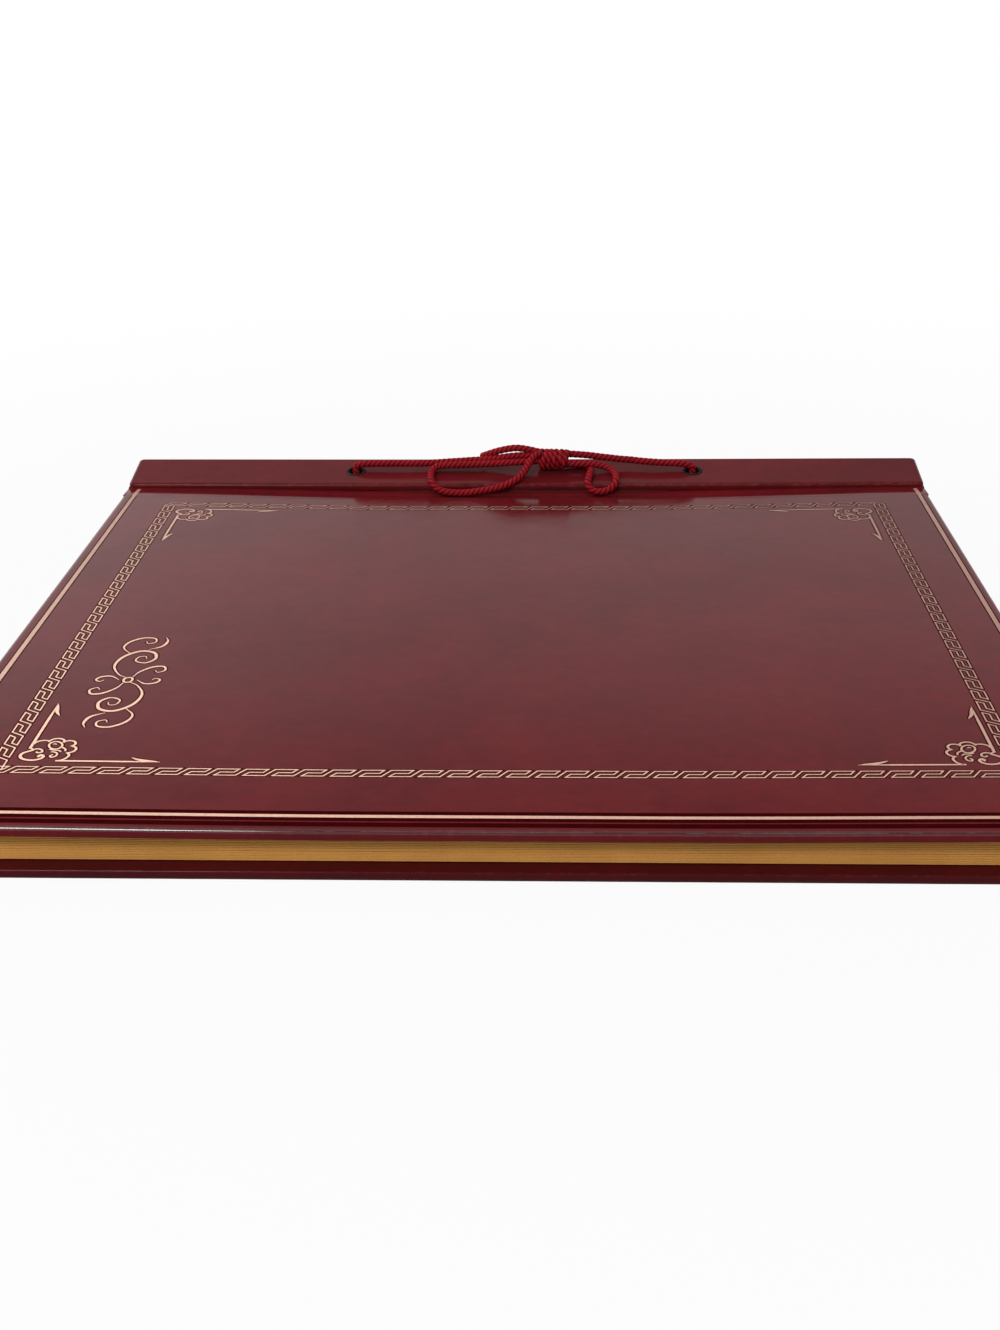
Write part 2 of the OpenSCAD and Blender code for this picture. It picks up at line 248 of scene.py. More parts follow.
def dish(x, y):
    """Rise of a wide cover by its warp."""
    covers = bpy.context.scene.scrapbook_covers
    reach = within((y - FORE_Y) / (FOOT_Y - FORE_Y))
    rise = covers.dish_fore + (covers.dish_rear - covers.dish_fore) * reach ** 1.5
    return rise * toward_ends(x)


def strip_dish(x, s):
    """Rise of a binding strip by its warp."""
    covers = bpy.context.scene.scrapbook_covers
    return covers.dish_strip * (1 - 0.45 * within(s / STRIP_D)) * toward_ends(x)


def droop(y):
    """How far the front cover's fore edge bends down."""
    covers = bpy.context.scene.scrapbook_covers
    share = max(0.0, 1 - (y - FORE_Y) / covers.droop_reach)
    return covers.droop * share ** 1.4


def cockle(x, y, seed, size, depth):
    """A slow unevenness of a glued surface."""
    return depth * noise.noise(Vector((x / size, y / size, seed)))


def cover_top(x, y):
    """Height of the front cover's outer face, gilt and all."""
    return ALBUM_T + dish(x, y) - droop(y) + cockle(x, y, 3.1, 70 * MM, 0.06 * MM)


# Meshes that the pieces share

def slab(half_w, y0, y1, corner, profile, cells, place):
    """Points, faces and edge wear of a rounded slab. The profile lists (inset, height, wear)
    from the upper face's rim, round the edge and back to the lower or inner face's rim."""
    nx, ny = cells
    cx, mid, cy = half_w - corner, (y0 + y1) / 2, (y1 - y0) / 2 - corner
    arc = 5  # steps round a corner
    xs = [cx * (2 * k / nx - 1) for k in range(nx + 1)]
    ys = [cy * (2 * k / ny - 1) for k in range(ny + 1)]
    rim = [((k, 0), (0, -1)) for k in range(nx + 1)]

    def corner_steps(cell, first):
        turns = [math.radians(first + 90 * k / arc) for k in range(1, arc)]
        return [(cell, (math.cos(a), math.sin(a))) for a in turns]

    rim += corner_steps((nx, 0), -90) + [((nx, k), (1, 0)) for k in range(ny + 1)]
    rim += corner_steps((nx, ny), 0) + [((nx - k, ny), (0, 1)) for k in range(nx + 1)]
    rim += corner_steps((0, ny), 90) + [((0, ny - k), (-1, 0)) for k in range(ny + 1)]
    rim += corner_steps((0, 0), 180)

    points, faces, wear = [], [], []

    def face_grid(height, worn, flip):
        base = len(points)
        for y in ys:
            for x in xs:
                points.append(place(x, mid + y, height))
                wear.append(worn)
        for j in range(ny):
            for i in range(nx):
                a = base + j * (nx + 1) + i
                quad = [a, a + 1, a + nx + 2, a + nx + 1]
                faces.append(quad[::-1] if flip else quad)
        return [base + j * (nx + 1) + i for (i, j), _ in rim]

    def ring(inset, height, worn):
        base = len(points)
        over = max(0.0, inset - corner)
        for (i, j), (ux, uy) in rim:
            out = corner - min(inset, corner)
            x = xs[i] * (cx - over) / cx + ux * out
            y = ys[j] * (cy - over) / cy + uy * out
            points.append(place(x, mid + y, height))
            wear.append(worn)
        return list(range(base, base + len(rim)))

    first, *middle, last = profile
    rings = [face_grid(first[1], first[2], False)]
    rings += [ring(*step) for step in middle]
    rings.append(face_grid(last[1], last[2], True))
    for upper, lower in zip(rings, rings[1:]):
        for k in range(len(rim)):
            n = (k + 1) % len(rim)
            loop = [upper[k], lower[k], lower[n], upper[n]]
            loop = [v for m, v in enumerate(loop) if v not in loop[:m]]
            if len(loop) > 2:
                faces.append(loop)
    return points, faces, wear


def skin_profile(corner, round_outer, round_inner, turn):
    """Leatherette over a board, as depths below the outer face: round the edge, the
    turned-in margin and back along its inner side."""
    steps = [(corner, 0.0, 0)]
    for k in range(7):
        a = math.radians(15 * k)
        steps.append((
            round_outer * (1 - math.sin(a)), round_outer * (1 - math.cos(a)),
            math.sin(2 * a) if k < 6 else 0.2))
    for k in range(5):
        a = math.radians(22.5 * k)
        steps.append((
            round_inner * (1 - math.cos(a)), SKIN_T - round_inner * (1 - math.sin(a)),
            0.6 * math.sin(2 * a)))
    inner = SKIN_T - LEATHER_T
    steps += [(turn, SKIN_T, 0), (turn, inner, 0), (LEATHER_T, inner, 0)]
    steps += [(LEATHER_T, LEATHER_T, 0), (corner, LEATHER_T, 0)]
    return steps


def plain_profile(corner, first, last):
    """A plain edge between two heights or depths."""
    return [(corner, last, 0), (0, last, 1), (0, first, 1), (corner, first, 0)]


def pierced(piece, cutters):
    """Cuts holes through a piece."""
    for cutter in cutters:
        cut = piece.modifiers.new("hole", "BOOLEAN")
        cut.object = cutter
        cut.solver = "EXACT"
    bpy.context.view_layer.update()
    graph = bpy.context.evaluated_depsgraph_get()
    mesh = bpy.data.meshes.new_from_object(piece.evaluated_get(graph), depsgraph=graph)
    piece.modifiers.clear()
    piece.data = mesh
    for cutter in cutters:
        bpy.data.objects.remove(cutter)
    place = mesh.attributes["rest_place"]
    place.data.foreach_set("vector", [c for v in mesh.vertices for c in v.co])
    return piece


def hole_cutters(h0, h1):
    """Round cutters square to the slope, one at each lacing hole."""
    made, count = [], 40
    for side in (-1, 1):
        points = []
        for h in (h0, h1):
            for k in range(count):
                a = 2 * math.pi * k / count
                points.append(on_slope(
                    side * HOLE_X + HOLE_R * math.cos(a), HOLE_S + HOLE_R * math.sin(a), h))
        faces = [[k, (k + 1) % count, count + (k + 1) % count, count + k] for k in range(count)]
        faces += [list(range(count))[::-1], list(range(count, 2 * count))]
        mesh = bpy.data.meshes.new("cutter")
        mesh.from_pydata(points, [], faces)
        cutter = bpy.data.objects.new("cutter", mesh)
        bpy.context.scene.collection.objects.link(cutter)
        cutter.hide_render = True
        made.append(cutter)
    return made


def layer(name, area, profile, cells, place, finish, keep_wear=False, bored=None):
    """A rounded layer of a cover or strip, bored for the cord where asked. The area is its
    half width, its two Y or s limits and the rounding of its corners."""
    half_w, y0, y1, corner = area
    points, faces, wear = slab(half_w, y0, y1, corner, profile, cells, place)
    made = make_piece(name, points, faces, finish, wear=wear if keep_wear else None)
    return pierced(made, hole_cutters(*bored)) if bored else made


def sheet_strip(columns, thickness):
    """Points and faces of a thin skin from a list of columns of surface points, the same
    number in each, thickened downwards."""
    rows = len(columns[0])
    points, faces = [], []
    for column in columns:
        points += column
    under = len(points)
    for column in columns:
        for k, p in enumerate(column):
            along = column[min(k + 1, rows - 1)] - column[max(k - 1, 0)]
            square = Vector((0, -along.z, along.y)).normalized()
            points.append(p - thickness * square * (1 if square.z > 0 else -1))
    last = len(columns) - 1
    for c in range(last):
        for k in range(rows - 1):
            a = c * rows + k
            faces.append([a, a + rows, a + rows + 1, a + 1])
            faces.append([under + v for v in (a, a + 1, a + rows + 1, a + rows)])
    for c in range(last):
        for k in (0, rows - 1):
            a = c * rows + k
            faces.append([a, a + rows, under + a + rows, under + a])
    for c in (0, last):
        for k in range(rows - 1):
            a = c * rows + k
            faces.append([a, a + 1, under + a + 1, under + a])
    return points, faces


class Foil:
    """Collects thin strips of gilt foil that lie on a surface."""

    def __init__(self, surface, lift=0.035 * MM, sunk=0.05 * MM):
        self.surface, self.lift, self.sunk = surface, lift, sunk
        self.points, self.faces = [], []
        self.bed, self.margin = None, 0.0

    def with_bed(self, margin):
        """Also lays a wider, lower strip for the leather pressed down round the foil, which is
        given painted shade.
        """
        self.bed, self.margin = Foil(self.surface, self.lift / 2, self.sunk), margin
        return self

    def line(self, path, widths):
        """A strip along a path of (x, y) points. The widths are one number or one per point."""
        path = [Vector((p[0], p[1])) for p in path]
        count = len(path)
        if isinstance(widths, float):
            widths = [widths] * count
        if self.bed:
            self.bed.line(path, [w + self.margin for w in widths])
        closed = (path[0] - path[-1]).length < 1e-7
        base = len(self.points)
        for k, p in enumerate(path):
            before = path[k - 1] if k else (path[-2] if closed else None)
            after = path[k + 1] if k + 1 < count else (path[1] if closed else None)
            into = (p - before).normalized() if before is not None else None
            out = (after - p).normalized() if after is not None else None
            into, out = into or out, out or into
            square = Vector((-into.y - out.y, into.x + out.x))
            if square.length < 1e-6:
                square = Vector((-into.y, into.x))
            square.normalize()
            reach = max(0.45, square.dot(Vector((-into.y, into.x))))
            for side in (1, -1):
                q = p + side * square * widths[k] / 2 / reach
                z = self.surface(q.x, q.y)
                self.points.append(Vector((q.x, q.y, z + self.lift)))
                self.points.append(Vector((q.x, q.y, z - self.sunk)))
        for k in range(count - 1):
            a, b = base + 4 * k, base + 4 * k + 4
            self.faces += [
                [a, a + 2, b + 2, b], [a + 1, b + 1, b + 3, a + 3],
                [a, b, b + 1, a + 1], [a + 2, a + 3, b + 3, b + 2]]
        a, b = base, base + 4 * (count - 1)
        self.faces += [[a, a + 1, a + 3, a + 2], [b, b + 2, b + 3, b + 1]]

    def piece(self, name, material):
        """The strips as one mesh object."""
        return make_piece(name, self.points, self.faces, material, sharp=30)


# Materials

def add(tree, kind, sockets=None, **settings):
    """A shader node, its sockets set to numbers or linked from other nodes' sockets."""
    made = tree.nodes.new(kind)
    for key, value in settings.items():
        setattr(made, key, value)
    for key, value in (sockets or {}).items():
        if isinstance(value, bpy.types.NodeSocket):
            tree.links.new(value, made.inputs[key])
        else:
            made.inputs[key].default_value = value
    return made


def rest_place(tree, solid=False):
    """Where a point of the surface is at rest, in metres."""
    if solid:
        return add(tree, "ShaderNodeTexCoord").outputs["Object"]
    return add(tree, "ShaderNodeAttribute", attribute_name="rest_place").outputs["Vector"]


def cloud(tree, place, size, detail=3.0, rough=0.55, warp=0.0, stretch=None):
    """Soft noise whose blotches are about the given size in metres."""
    if stretch:
        place = add(tree, "ShaderNodeVectorMath", {0: place, 1: stretch},
                    operation="MULTIPLY").outputs[0]
    return add(tree, "ShaderNodeTexNoise", {
        "Vector": place, "Scale": 1 / size, "Detail": detail, "Roughness": rough,
        "Distortion": warp}).outputs["Fac"]


def ramp(tree, factor, stops):
    """A colour ramp with its stops as (position, grey or colour)."""
    made = add(tree, "ShaderNodeValToRGB", {"Fac": factor})
    stops = [(at, (c, c, c) if isinstance(c, (int, float)) else tuple(c)) for at, c in stops]
    for k, (at, colour) in enumerate(stops):
        stop = made.color_ramp.elements[k] if k < 2 else made.color_ramp.elements.new(at)
        stop.position = at
        stop.color = (*colour[:3], 1)
    return made.outputs["Color"]


def mixed(tree, factor, first, second, how="MIX"):
    """Two colours mixed by a factor."""
    made = add(tree, "ShaderNodeMix", data_type="RGBA", blend_type=how)
    for key, value in ((0, factor), (6, first), (7, second)):
        if isinstance(value, bpy.types.NodeSocket):
            tree.links.new(value, made.inputs[key])
        elif isinstance(value, (int, float)):
            made.inputs[key].default_value = value
        else:
            made.inputs[key].default_value = (*value[:3], 1)
    return made.outputs[2]


def raised(tree, height, depth, below=None):
    """A normal that follows small heights, over another such normal."""
    sockets = {"Height": height, "Distance": depth, "Strength": 1.0}
    if below is not None:
        sockets["Normal"] = below
    return add(tree, "ShaderNodeBump", sockets).outputs["Normal"]


def new_finish(name):
    """An empty material, its node tree and its shader."""
    finish = bpy.data.materials.get(name)
    if finish:
        return finish, None, None
    finish = bpy.data.materials.new(name)
    finish.use_nodes = True
    tree = finish.node_tree
    return finish, tree, tree.nodes["Principled BSDF"]


def set_shader(tree, shader, **sockets):
    """Sets the shader's sockets, named with _ for a space."""
    for key, value in sockets.items():
        socket = shader.inputs[key.replace("_", " ")]
        if isinstance(value, bpy.types.NodeSocket):
            tree.links.new(value, socket)
        elif isinstance(value, (int, float)):
            socket.default_value = value
        else:
            socket.default_value = (*value[:3], 1)


def leatherette(name="burgundy_leatherette", ior=1.15, smoothest=0.13, roughest=0.20,
                tone=1.0):
    """Burgundy leatherette: a clouded red, a fine grain and lighter rounded edges, partly rubbed
    wear and partly a painted highlight.
    """
    finish, tree, shader = new_finish(name)
    if tree:
        covers = bpy.context.scene.scrapbook_covers
        place = rest_place(tree)
        clouds = cloud(tree, place, 60 * MM, 4, 0.6, 0.6)
        red = mixed(tree, ramp(tree, clouds, [(0.38, 0), (0.66, 1)]),
                    covers.leather_dark, covers.leather_red)
        mottle = cloud(tree, place, 5 * MM, 3)
        red = mixed(tree, ramp(tree, mottle, [(0.3, 0.0), (0.8, 0.35)]), red,
                    covers.leather_deep)
        # Lighter rounded edges: partly rubbed wear and partly a painted highlight
        worn = add(tree, "ShaderNodeAttribute", attribute_name="edge_wear").outputs["Fac"]
        rub_and_highlight = ramp(tree, cloud(tree, place, 2.5 * MM, 5, 0.7), [(0.5, 0), (0.72, 1)])
        rub_and_highlight = mixed(tree, 1.0, worn, rub_and_highlight, "MULTIPLY")
        red = mixed(tree, mixed(tree, 1.0, rub_and_highlight, (0.3, 0.3, 0.3), "MULTIPLY"), red,
                    covers.leather_rubbed_highlight)
        # A tone below 1 darkens the whole colour as painted shade
        red = mixed(tree, 1.0, red, (tone, tone, tone), "MULTIPLY")
        rough = ramp(tree, cloud(tree, place, 12 * MM, 4), [(0.3, smoothest), (0.75, roughest)])
        cells = add(tree, "ShaderNodeTexVoronoi", {
            "Vector": place, "Scale": 1 / covers.grain_size, "Randomness": 1.0},
            feature="SMOOTH_F1").outputs["Distance"]
        fine = cloud(tree, place, 0.3 * MM, 3)
        broad = cloud(tree, place, 9 * MM, 2)
        bump = raised(tree, broad, 0.03 * MM)
        bump = raised(tree, cells, covers.grain_depth, bump)
        bump = raised(tree, fine, covers.grain_depth * 0.35, bump)
        set_shader(tree, shader, Base_Color=red, Roughness=rough, Normal=bump, IOR=ior)
    return finish


def gloss_with_painted_shade():
    """The same leatherette, glossier for the line of light along the fore edge, and darker at 0.7
    of its brightness as painted shade round that line.
    """
    return leatherette("gloss_painted_shade_leatherette", 1.5, 0.06, 0.10, 0.7)


def painted_shade_leatherette():
    """The same leatherette at 0.6 of its brightness: painted shade over the whole back cover,
    matched to its dark edge in the shade under the front cover's overhang."""
    return leatherette("painted_shade_leatherette", tone=0.6)


def stamped_shade_leather():
    """The leatherette at the sides of a stamped line, smooth and dark: its darkness and its
    missing reflection are painted shade.
    """
    finish, tree, shader = new_finish("stamped_shade_leatherette")
    if tree:
        covers = bpy.context.scene.scrapbook_covers
        place = rest_place(tree)
        shade = mixed(tree, cloud(tree, place, 6 * MM, 3), covers.leather_deep,
                      covers.leather_dark)
        # Painted shade: the colour is darkened and the reflection taken away
        shade = mixed(tree, 1.0, shade, (0.45, 0.3, 0.3), "MULTIPLY")
        rough = ramp(tree, cloud(tree, place, 3 * MM, 3), [(0.3, 0.5), (0.7, 0.65)])
        set_shader(tree, shader, Base_Color=shade, Roughness=rough, Specular_IOR_Level=0.0)
    return finish


def gilt_foil(name="gilt_foil", rubbed=0.0):
    """Pale gold foil, thin in patches and darker towards the head and the spine, most of all in
    the fillet's lines at head and tail."""
    finish, tree, shader = new_finish(name)
    if tree:
        gilt = bpy.context.scene.scrapbook_gilt
        place = rest_place(tree)
        thin = ramp(tree, cloud(tree, place, 1.1 * MM, 4, 0.7), [(0.42, 0), (0.7, 1)])
        shade = mixed(tree, thin, gilt.foil, gilt.foil_rubbed)
        fade_way = (2.6, 3.0, 0)
        far = add(tree, "ShaderNodeVectorMath", {0: place, 1: fade_way},
                  operation="DOT_PRODUCT").outputs["Value"]
        across = add(tree, "ShaderNodeSeparateXYZ", {"Vector": place}).outputs["X"]
        aside = add(tree, "ShaderNodeMath", {0: across}, operation="ABSOLUTE").outputs[0]
        aside = ramp(tree, aside, [(0.165, 0.68), (0.172, 0.98)])
        gone = add(tree, "ShaderNodeMath", {0: far, 1: aside})
        patchy = ramp(tree, cloud(tree, place, 25 * MM, 3), [(0.3, 0.82), (0.7, 1.0)])
        gone = mixed(tree, 1.0, ramp(tree, gone.outputs[0], [(0.0, 0.0), (1.0, 0.95)]), patchy,
                     "MULTIPLY")
        shade = mixed(tree, gone, shade, gilt.foil_gone)
        shade = mixed(tree, rubbed, shade, gilt.foil_gone)
        rough = ramp(tree, cloud(tree, place, 3 * MM, 3), [(0.3, 0.34), (0.7, 0.5)])
        bump = raised(tree, cloud(tree, place, 0.25 * MM, 3), 0.02 * MM)
        set_shader(tree, shader, Base_Color=shade, Roughness=rough, Normal=bump,
                   Metallic=0.15)
    return finish


def paper(name, colour, aged, fibre, solid=False):
    """Soft uncoated paper with fibres and browned patches."""
    finish, tree, shader = new_finish(name)
    if tree:
        place = rest_place(tree, solid)
        patches = ramp(tree, cloud(tree, place, 30 * MM, 4, 0.6), [(0.35, 0), (0.75, 1)])
        shade = mixed(tree, patches, colour, aged)
        lint = cloud(tree, place, fibre, 5, 0.7, 0.4, (1, 0.35, 1))
        shade = mixed(tree, 0.35, shade, ramp(tree, lint, [(0.3, 0.45), (0.7, 1.0)]), "MULTIPLY")
        bump = raised(tree, lint, 0.05 * MM)
        set_shader(tree, shader, Base_Color=shade, Roughness=0.82, Normal=bump,
                   Specular_IOR_Level=0.3)
    return finish


def leaf_paper(name="tan_leaf_paper", solid=False):
    """The leaves' tan paper."""
    leaves = bpy.context.scene.scrapbook_leaves
    return paper(name, leaves.paper, leaves.paper_aged, 0.7 * MM, solid)


def lining_paper():
    """The paper pasted inside the covers."""
    leaves = bpy.context.scene.scrapbook_leaves
    return paper("cream_lining_paper", leaves.lining, leaves.lining_aged, 0.6 * MM)


def grey_board():
    """Grey pulp board, the covers' core."""
    return paper("grey_pulp_board", (0.22, 0.19, 0.15), (0.17, 0.14, 0.11), 1.2 * MM)


def hinge_cloth():
    """Thin dark cloth, plainly woven."""
    finish, tree, shader = new_finish("dark_hinge_cloth")
    if tree:
        place = rest_place(tree)
        split = add(tree, "ShaderNodeSeparateXYZ", {"Vector": place})
        threads, thread_pitch = [], 0.45 * MM
        for axis in ("X", "Y"):
            wave = add(tree, "ShaderNodeMath", {
                0: split.outputs[axis], 1: 2 * math.pi / thread_pitch}, operation="MULTIPLY")
            threads.append(add(tree, "ShaderNodeMath", {0: wave.outputs[0]},
                               operation="SINE").outputs[0])
        weave = add(tree, "ShaderNodeMath", {0: threads[0], 1: threads[1]},
                    operation="MULTIPLY").outputs[0]
        fuzz = cloud(tree, place, 4 * MM, 4)
        shade = mixed(tree, ramp(tree, fuzz, [(0.3, 0), (0.75, 1)]), (0.05, 0.02, 0.018),
                      (0.085, 0.035, 0.028))
        set_shader(tree, shader, Base_Color=shade, Roughness=0.85, Sheen_Weight=0.2,
                   Normal=raised(tree, weave, 0.04 * MM))
    return finish


def black_enamel():
    """Dull black enamel with brown specks."""
    finish, tree, shader = new_finish("black_enamel")
    if tree:
        place = rest_place(tree)
        specks = ramp(tree, cloud(tree, place, 0.8 * MM, 5, 0.75), [(0.62, 0), (0.7, 1)])
        shade = mixed(tree, specks, (0.012, 0.008, 0.008), (0.09, 0.05, 0.03))
        rough = ramp(tree, cloud(tree, place, 2 * MM, 2), [(0.3, 0.5), (0.7, 0.7)])
        set_shader(tree, shader, Base_Color=shade, Roughness=rough, Specular_IOR_Level=0.08)
    return finish


def cord_fibre():
    """Crimson fibres, with painted shade in the grooves between the strands."""
    finish, tree, shader = new_finish("cord_fibre")
    if tree:
        cord = bpy.context.scene.scrapbook_cord
        place = rest_place(tree)
        groove = add(tree, "ShaderNodeAttribute", attribute_name="strand_depth").outputs["Fac"]
        fibres = cloud(tree, place, 0.28 * MM, 3, 0.6)
        # Painted shade in the grooves between the strands
        shade = mixed(tree, ramp(tree, groove, [(0.25, 0), (0.9, 1)]), cord.shade, cord.colour)
        shade = mixed(tree, ramp(tree, fibres, [(0.55, 0), (0.8, 0.35)]), shade, cord.glint)
        fade = ramp(tree, cloud(tree, place, 14 * MM, 2), [(0.35, 0.8), (0.7, 1.0)])
        shade = mixed(tree, 1.0, shade, fade, "MULTIPLY")
        set_shader(tree, shader, Base_Color=shade, Roughness=0.65, Specular_IOR_Level=0.06,
                   Normal=raised(tree, fibres, 0.06 * MM))
    return finish


# Settings

def colour(name, note, value):
    """A colour that the user may change."""
    return FloatVectorProperty(
        name=name, description=note, subtype="COLOR", size=3, min=0, max=1, default=value)


def measure(name, note, value):
    """A length that the user may change."""
    return FloatProperty(
        name=name, description=note, default=value, min=0, max=1, unit="LENGTH", precision=5)


class CoverSettings(bpy.types.PropertyGroup):
    """Sizes and colours of the covers"""
    edge_round: measure("Edge rounding", "Rounding of the covers' outer edges", 1.5 * MM)
    corner_round: measure("Corner rounding", "Rounding of the covers' corners", 2.4 * MM)
    dish_fore: measure("Warp at the fore edge", "Rise of head and tail there", 0.9 * MM)
    dish_rear: measure("Warp at the groove", "Rise of head and tail there", 2.3 * MM)
    dish_strip: measure("Warp of the strip", "Rise of the strip's ends", 0.5 * MM)
    valley_mid: measure("Groove depth", "Depth of the groove at its middle", 0.8 * MM)
    valley_end: measure("Groove depth at the ends", "Depth at head and tail", 0.35 * MM)
    droop: measure("Droop", "Drop of the front cover's fore edge", 0.24 * MM)
    droop_reach: measure("Droop reach", "Depth of the part that droops", 8.2 * MM)
    grain_size: measure("Grain size", "Size of the leatherette's pebbles", 0.7 * MM)
    grain_depth: measure("Grain depth", "Height of the leatherette's pebbles", 0.006 * MM)
    leather_dark: colour("Burgundy", "Main colour of the leatherette", (0.096, 0.0065, 0.0085))
    leather_red: colour("Red clouds", "Colour of its redder clouds", (0.122, 0.0075, 0.0100))
    leather_deep: colour("Deep mottle", "Colour of its fine dark mottle", (0.045, 0.004, 0.006))
    # Lighter edges: partly rubbed wear and partly a painted highlight
    leather_rubbed_highlight: colour("Rubbed edge", "Colour of its rubbed edges", (0.30, 0.10, 0.09))


class GiltSettings(bpy.types.PropertyGroup):
    """Sizes and colours of the gilt tooling"""
    fillet_side: measure("Fillet inset", "Distance of the fillet from head and tail", 4.16 * MM)
    fillet_skew: measure("Fillet skew", "How much further in it lies at the tail", 0.9 * MM)
    fillet_fore: measure("Fillet fore inset", "Distance from the fore edge", 8.5 * MM)
    fillet_width: measure("Fillet width", "Width of the plain line", 1.7 * MM)
    key_side: measure("Border inset", "Distance of the key border from head and tail", 21.75 * MM)
    key_fore: measure("Border fore inset", "Distance from the fore edge", 34.26 * MM)
    key_far: measure("Border reach", "Distance of its far line from the fore edge", 300.8 * MM)
    key_band: measure("Border width", "Width of the key border between lines", 4.2 * MM)
    key_line: measure("Key line", "Width of the key border's line", 0.5 * MM)
    key_repeat: measure("Key repeat", "Length of one key, rounded to fill a side", 8.85 * MM)
    scroll_line: measure("Scroll line", "Width of the corner scrolls' line", 0.8 * MM)
    bed_margin: measure("Pressed margin", "Extra width of the pressed leather", 0.9 * MM)
    foil: colour("Foil", "Colour of the gilt", (0.95, 0.61, 0.44))
    foil_gone: colour("Bare stamping", "Colour where hardly any gilt is left", (0.30, 0.145, 0.11))
    foil_rubbed: colour("Rubbed foil", "Colour where the gilt is thin", (0.76, 0.41, 0.28))


class LeafSettings(bpy.types.PropertyGroup):
    """Sizes and colours of the leaves and linings"""
    count: IntProperty(name="Leaves", description="Number of leaves", default=LEAF_COUNT)
    cockle: measure("Cockle", "Height of the slow waves in a leaf", 0.05 * MM)
    stagger: measure("Stagger", "Unevenness of the leaves' fore edges", 0.25 * MM)
    paper: colour("Paper", "Colour of the leaves", (0.74, 0.36, 0.085))
    paper_aged: colour("Aged paper", "Colour of browned paper", (0.62, 0.29, 0.064))
    lining: colour("Lining", "Colour of the lining paper", (0.50, 0.36, 0.22))
    lining_aged: colour("Aged lining", "Colour of foxed lining", (0.40, 0.26, 0.14))


class CordSettings(bpy.types.PropertyGroup):
    """Sizes and colours of the lacing cord"""
    diameter: measure("Diameter", "Diameter of the lacing cord", CORD_D)
    lay: measure("Lay", "Length of one whole turn of the strands", 6.6 * MM)
    strands: IntProperty(name="Strands", description="Strands twisted together", default=3)
    colour: colour("Cord", "Colour of the cord", (0.34, 0.009, 0.016))
    # Painted shade between the strands
    shade: colour("Cord shade", "Colour between the strands", (0.06, 0.001, 0.003))
    glint: colour("Cord glint", "Colour of its shining fibres", (0.36, 0.022, 0.03))


class StageSettings(bpy.types.PropertyGroup):
    """The floor's colour and the camera"""
    floor: colour("Floor", "Colour of the floor", (0.45, 0.45, 0.45))
    camera_place: FloatVectorProperty(
        name="Camera", description="Where the camera stands", size=3, unit="LENGTH",
        default=(18.36 * MM, -620.59 * MM, 253.86 * MM))
    camera_turn: FloatVectorProperty(
        name="Camera turn", description="Pitch down, turn to the left and roll, in degrees",
        size=3, default=(22.721, 2.223, -0.72))
    focal: FloatProperty(
        name="Focal length", description="In pixels of the photograph", default=1784.4)
    picture: IntProperty(
        name="Picture height", description="The photograph's height in pixels", default=1330)


# The lacing cord

def strand_tube(name, path, material, phase=0.0, round_ends=(False, False)):
    """A cord of twisted strands along a path."""
    cord = bpy.context.scene.scrapbook_cord
    radius, strands, sides = cord.diameter / 2, cord.strands, 10 * cord.strands
    cap_rings, total = 4, len(path)
    points, depth, faces = [], [], []
    run, side = 0.0, None
    for k, p in enumerate(path):
        ahead = (path[min(k + 1, total - 1)] - path[max(k - 1, 0)]).normalized()
        if side is None:
            side = ahead.orthogonal().normalized()
        side = (side - side.dot(ahead) * ahead).normalized()
        up = ahead.cross(side)
        if k:
            run += (p - path[k - 1]).length
        pinch = 1.0
        for end, near in ((round_ends[0], k), (round_ends[1], total - 1 - k)):
            if end and near < cap_rings:
                pinch = min(pinch, math.sqrt(1 - (1 - (near + 0.15) / cap_rings) ** 2))
        for m in range(sides):
            a = 2 * math.pi * m / sides
            turn = a - phase + 2 * math.pi * run / cord.lay
            lobe = abs(math.cos(strands * turn / 2))
            full = 0.82 + 0.18 * lobe ** 0.7
            points.append(p + radius * pinch * full * (math.cos(a) * side + math.sin(a) * up))
            depth.append(lobe)
    for k in range(total - 1):
        for m in range(sides):
            n = (m + 1) % sides
            a, b = k * sides, (k + 1) * sides
            faces.append([a + m, b + m, b + n, a + n])
    faces.append(list(range(sides)))
    faces.append(list(range((total - 1) * sides, total * sides))[::-1])
    made = make_piece(name, points, faces, material, sharp=80)
    made.data.attributes.new("strand_depth", "FLOAT", "POINT").data.foreach_set("value", depth)
    return made


def bow_path(route, step=0.45 * MM):
    """A route over the front strip as points of the book's frame."""
    warped = []
    for x, s, h in route:
        x, s, h = x * MM, s * MM, h * MM
        share = smooth(LACE_H * MM, LACE_TOP * MM, h)
        warped.append(on_slope(x, s, STRIP_H + h) + Vector((0, 0, share * strip_dish(x, s))))
    return through(warped, step)


def eased(points, rounds=30):
    """The same path with its sharpest bends relaxed."""
    for _ in range(rounds):
        inner = [(a + 2 * b + c) / 4 for a, b, c in zip(points, points[1:], points[2:])]
        points = [points[0]] + inner + [points[-1]]
    return points


def free_cord(name, node, path, round_ends=(False, False)):
    """One stretch of the cord in place of its solid."""
    made = strand_tube(name, path, cord_fibre(), round_ends=round_ends)
    settle(made, "binding", "cord", node)
    tuple(path[0])
    length_of(path)
    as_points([tuple(p) for p in path[::3]] + [tuple(path[-1])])
    return made


